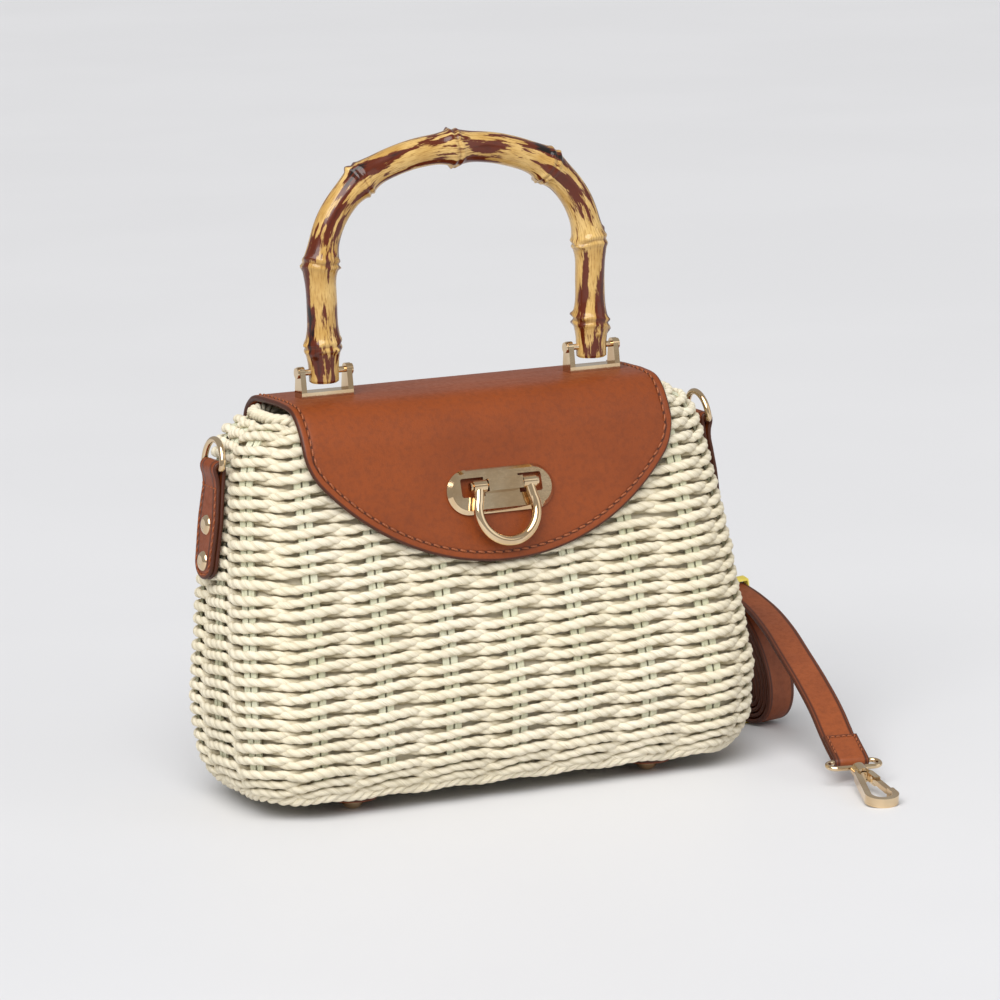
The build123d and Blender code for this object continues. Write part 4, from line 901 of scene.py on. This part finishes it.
for name, side in (("left", -1), ("right", 1)):
    outward_x, outward_z = side * np.cos(tab_lean), np.sin(tab_lean)

    def on_tab(across, down):
        """Middle of the tab's leather, and its outward direction, for flat places on it: the fold's
        route lies in the plane of the wall's upright and outward directions."""
        u, w, du, dw = [np.interp(down, tab_run, way) for way in (*tab_route.T, *tab_slope.T)]
        upright = np.array([-side * outward_z, 0.0, abs(outward_x)])
        away = np.array([outward_x, 0.0, outward_z])
        start = np.array([side * tab_end, HANDLE_Y, TAB_MID_Z])
        point = start + upright * u[..., None] + away * w[..., None]
        point = point + np.array([0.0, side, 0.0]) * across[..., None]
        return point, unit(away * -du[..., None] + upright * dw[..., None])

    tab = leather_sheet(
        "tab_leather_" + name, tab_x, np.broadcast_to(tab_rows[:, None], tab_x.shape), tab_edge,
        on_tab, TAB_PLY, tan_leather, TAB_SEAM,
    )
    shown = tab_rows > outer - 38.0
    tab_outline = np.concatenate([
        np.stack([-tab_wide[shown, 0], tab_rows[shown]], axis=1)[::-1],
        np.stack([tab_wide[shown, 0], tab_rows[shown]], axis=1),
    ])
    seam_place, seam_along = inside_line(tab_outline, TAB_SEAM, 2.9)
    tab_stitches = stitches(
        "tab_stitches_" + name, seam_place, seam_along, on_tab, TAB_PLY / 2, tan_thread, 2.1, 0.33, 0.3,
    )
    for piece in (tab, tab_stitches):
        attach(piece, "basket")
    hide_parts("tab_" + name)

# ----------------------------------------
# The shoulder strap: one long leather strip, rolled up and held with an elastic band. Each end
# goes round a wire loop and is folded back and stitched down on itself.
# ----------------------------------------
STRAP_HALF = 7.0
STRAP_THICK = 2.0
STRAP_SEAM = 1.5
TURN_APART = 2.27
ROLL_LONG = 33.0
ROLL_SHORT = 19.5
ROLL_TILT = np.radians(38.0)
ROLL_TURN = np.radians(14.0)
FOLD_LONG = 14.0
roll_axis = np.array([np.cos(ROLL_TURN), np.sin(ROLL_TURN), 0.0])
roll_front = np.array([np.sin(ROLL_TURN), -np.cos(ROLL_TURN), 0.0])
roll_rise = np.hypot(ROLL_LONG * np.cos(ROLL_TILT), ROLL_SHORT * np.sin(ROLL_TILT))
roll_mid = np.array([134.0, 19.0, roll_rise]) - roll_front * 16.0 + roll_axis * STRAP_HALF
turns = np.linspace(0.0, 6.9, 7 * 30)[1:]
drawn_in = 1.1 + TURN_APART * turns
oval = -np.radians(84.0) - 2 * np.pi * turns
oval_x = (ROLL_SHORT - drawn_in) * np.cos(oval)
oval_y = (ROLL_LONG - drawn_in) * np.sin(oval)
forward = oval_x * np.cos(ROLL_TILT) + oval_y * np.sin(ROLL_TILT)
below = oval_y * np.cos(ROLL_TILT) - oval_x * np.sin(ROLL_TILT)
spiral = roll_mid + roll_front * forward[:, None] - np.array([0.0, 0.0, 1.0]) * below[:, None]
# Places on the loose ends, with the turn of the strap's width in degrees.
FRONT_WAY = [
    (126.3, -55.0, 21.8, -10.0), (130.0, -35.0, 29.8, -9.0), (133.6, -14.0, 37.0, -6.0),
    (136.8, 5.0, 43.2, 0.0), (138.3, 25.5, 49.0, 8.0), (136.85, 36.5, 52.4, 14.0),
    (133.6, 49.5, 54.9, 14.0),
]
BACK_WAY = [
    (118.4, 114.0, 26.4, 14.0), (122.6, 97.0, 37.6, 14.0), (126.8, 80.0, 47.0, 14.0),
    (130.4, 65.5, 53.0, 14.0), (133.0, 55.0, 55.3, 14.0),
]
FOLD_WAY = np.array([
    (-15.4, 1.12), (-12.0, 1.1), (-6.0, 1.1), (-1.2, 1.1), (0.75, 0.8), (1.15, 0.0),
    (0.75, -0.8), (-1.2, -1.1), (-6.0, -1.1), (-12.0, -1.08), (-17.0, -0.8),
])
strap_leather = leather_material("strap_leather", "8C461E", "743616", "451D0A", STRAP_SEAM, 0.8, 0.5)
for name, fold, way, rest_of_roll in (
    ("front", (120.7, -84.5, 8.6), FRONT_WAY, spiral),
    ("back", (112.1, 139.5, 8.6), BACK_WAY, spiral[:0]),
):
    fold, way = np.array(fold), np.array(way)
    turn = np.radians(way[0, 3])
    across_fold = np.array([np.cos(turn), np.sin(turn), 0.0])
    to_fold = unit(fold - way[0, :3])
    to_fold = unit(to_fold - across_fold * (to_fold @ across_fold))
    over = np.cross(to_fold, across_fold)
    over = over * np.sign(over[2])
    folded = fold + to_fold * FOLD_WAY[:, :1] + over * FOLD_WAY[:, 1:]
    route = np.concatenate([folded, way[:, :3], rest_of_roll])
    turn_at = np.radians(np.concatenate([np.full(len(folded), way[0, 3]), way[:, 3]]))
    turn_at = np.concatenate([turn_at, np.full(len(rest_of_roll), ROLL_TURN)])
    line, run = smooth_line(np.concatenate([route, turn_at[:, None]], axis=1), 0.35)
    forth = unit(np.gradient(line[:, :3], axis=0))
    crosswise = np.stack([np.cos(line[:, 3]), np.sin(line[:, 3]), np.zeros(len(line))], axis=1)
    crosswise = unit(crosswise - forth * np.sum(crosswise * forth, axis=1, keepdims=True))
    facing = unit(np.cross(forth, crosswise)) * np.sign(np.cross(forth[20], crosswise[20]) @ over)

    def on_strap(across, down):
        """Middle of the strap's leather, and the direction its face looks, for flat places on it."""
        point, width_way, face_way = [
            along_line(down, run, way) for way in (line[:, :3], crosswise, facing)
        ]
        return point + unit(width_way) * across[..., None], unit(face_way)

    strap_rows = np.concatenate([
        near_edge[:6], np.linspace(2.4, 36.0, 90),
        np.arange(37.0, run[-1] - 3.0, 1.3), (run[-1] - near_edge[:6])[::-1],
    ])
    strap_columns = np.concatenate([
        near_edge[:6] - STRAP_HALF, np.linspace(-4.6, 4.6, 7), (STRAP_HALF - near_edge[:6])[::-1],
    ])
    strap_d, strap_x = np.meshgrid(strap_rows, strap_columns, indexing="ij")
    strap_edge = np.minimum(STRAP_HALF - np.abs(strap_x), np.minimum(strap_d, run[-1] - strap_d))
    strip = leather_sheet(
        "strap_strip_" + name, strap_x, strap_d, strap_edge,
        on_strap, STRAP_THICK, strap_leather, STRAP_SEAM,
    )
    side_d = np.arange(1.8, FOLD_LONG - 1.0, 2.3)
    places = np.concatenate([
        np.stack([np.full(len(side_d), -5.4), side_d], axis=1),
        np.stack([np.full(len(side_d), 5.4), side_d], axis=1),
        np.stack([np.linspace(-3.4, 3.4, 4), np.full(4, 1.7)], axis=1),
    ])
    ways = np.concatenate([np.tile([[0.0, 1.0]], (2 * len(side_d), 1)), np.tile([[1.0, 0.0]], (4, 1))])
    sewing = stitches(
        "strap_stitches_" + name, places, ways, on_strap, STRAP_THICK / 2, tan_thread, 1.8, 0.3, 0.3,
    )
    for piece in (strip, sewing):
        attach(piece, "basket")
    if name == "front":
        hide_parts("strap")

# ----------------------------------------
# The elastic band: flat yellow rubber, stretched round the rolled strap to hold it closed. Only
# its tension keeps it there.
# ----------------------------------------
band_mesh = nodes["strap_band"].data.copy()
band_shape = bmesh.new()
band_shape.from_mesh(band_mesh)
bmesh.ops.remove_doubles(band_shape, verts=band_shape.verts, dist=0.000002)
band_shape.to_mesh(band_mesh)
band_shape.free()
rubber, tree, shader = new_material("yellow_rubber", Roughness=0.42)
dusty = mottle(tree, place_on(tree), 240.0)
colour_by(tree, shader, dusty, "D8C03C", "EFDC62")
relief(tree, shader, dusty, 0.15, 0.0002)
band_mesh.materials.clear()
band_mesh.materials.append(rubber)
band = add_object("elastic_band", band_mesh)
soften = band.modifiers.new("worn_edges", "BEVEL")
soften.width = 0.12 * MM
soften.segments = 2
soften.limit_method = "ANGLE"
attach(band, "basket")
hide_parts("strap_band")

# ----------------------------------------
# The pale floor that the bag and strap stand on, the soft studio light with a wide window on the
# left, and the camera.
# ----------------------------------------
floor_material, tree, shader = new_material("studio_floor", Roughness=0.55)
colour_by(tree, shader, mottle(tree, place_on(tree), 3.0), "D6D6D8", "D8D8DA", 0.35, 0.65)
FLOOR_HALF = 20000.0
floor_side = np.array([-FLOOR_HALF, FLOOR_HALF])
floor_points = np.stack(np.broadcast_arrays(floor_side[None, :], floor_side[:, None], 0.0), axis=-1)
quads, _ = grid_faces(2, 2, False, False)
floor = make_piece("studio_floor", floor_points, [quads[:, ::-1]], floor_material)


def soft_light(name, kind, place, size, power):
    """A light at a place, turned to the basket: a wide sun (its size in degrees) or a square area."""
    lamp = bpy.data.lights.new(name, kind)
    lamp.energy = power
    if kind == "SUN":
        lamp.angle = np.radians(size)
    else:
        lamp.shape, lamp.size = "SQUARE", size
    light = add_object(name, lamp)
    towards = unit(np.array([0.0, 0.0, 0.1]) - np.array(place))
    light.location = place
    light.rotation_euler = (np.arccos(-towards[2]), 0.0, np.arctan2(towards[1], towards[0]) - np.pi / 2)


soft_light("sky_window", "SUN", (-1.1, -1.3, 2.0), 55.0, 3.0)
soft_light("window", "AREA", (-1.1, -1.3, 1.5), 1.5, 9.0)
soft_light("fill", "AREA", (1.6, -1.4, 0.9), 1.6, 6.0)
world = bpy.data.worlds.new("studio")
bpy.context.scene.world = world
world.use_nodes = True
background = world.node_tree.nodes["Background"]
background.inputs["Color"].default_value = (0.95, 0.95, 0.95, 1.0)
background.inputs["Strength"].default_value = 0.45

bpy.context.scene.view_settings.view_transform = "Standard"
AZIMUTH = np.radians(-25.0)
ELEVATION = np.radians(10.5)
ROLL = np.radians(1.3)
DISTANCE = 2.1
ZOOM = 5.4  # lens length over sensor width
TARGET = np.array([0.0129, 0.0, 0.1087])
flat_away = np.array([np.sin(AZIMUTH), -np.cos(AZIMUTH), 0.0])
away = flat_away * np.cos(ELEVATION) + np.array([0.0, 0.0, np.sin(ELEVATION)])
right = np.array([np.cos(AZIMUTH), np.sin(AZIMUTH), 0.0])
above = np.cross(away, right)
turned_right = right * np.cos(ROLL) - above * np.sin(ROLL)
turned_above = above * np.cos(ROLL) + right * np.sin(ROLL)
lens = bpy.data.cameras.new("camera")
lens.sensor_width = 36.0
lens.lens = lens.sensor_width * ZOOM
camera = add_object("camera", lens)
matrix = np.eye(4)
matrix[:3, 0], matrix[:3, 1], matrix[:3, 2] = turned_right, turned_above, away
matrix[:3, 3] = TARGET + away * DISTANCE
camera.matrix_world = matrix.T
bpy.context.scene.camera = camera
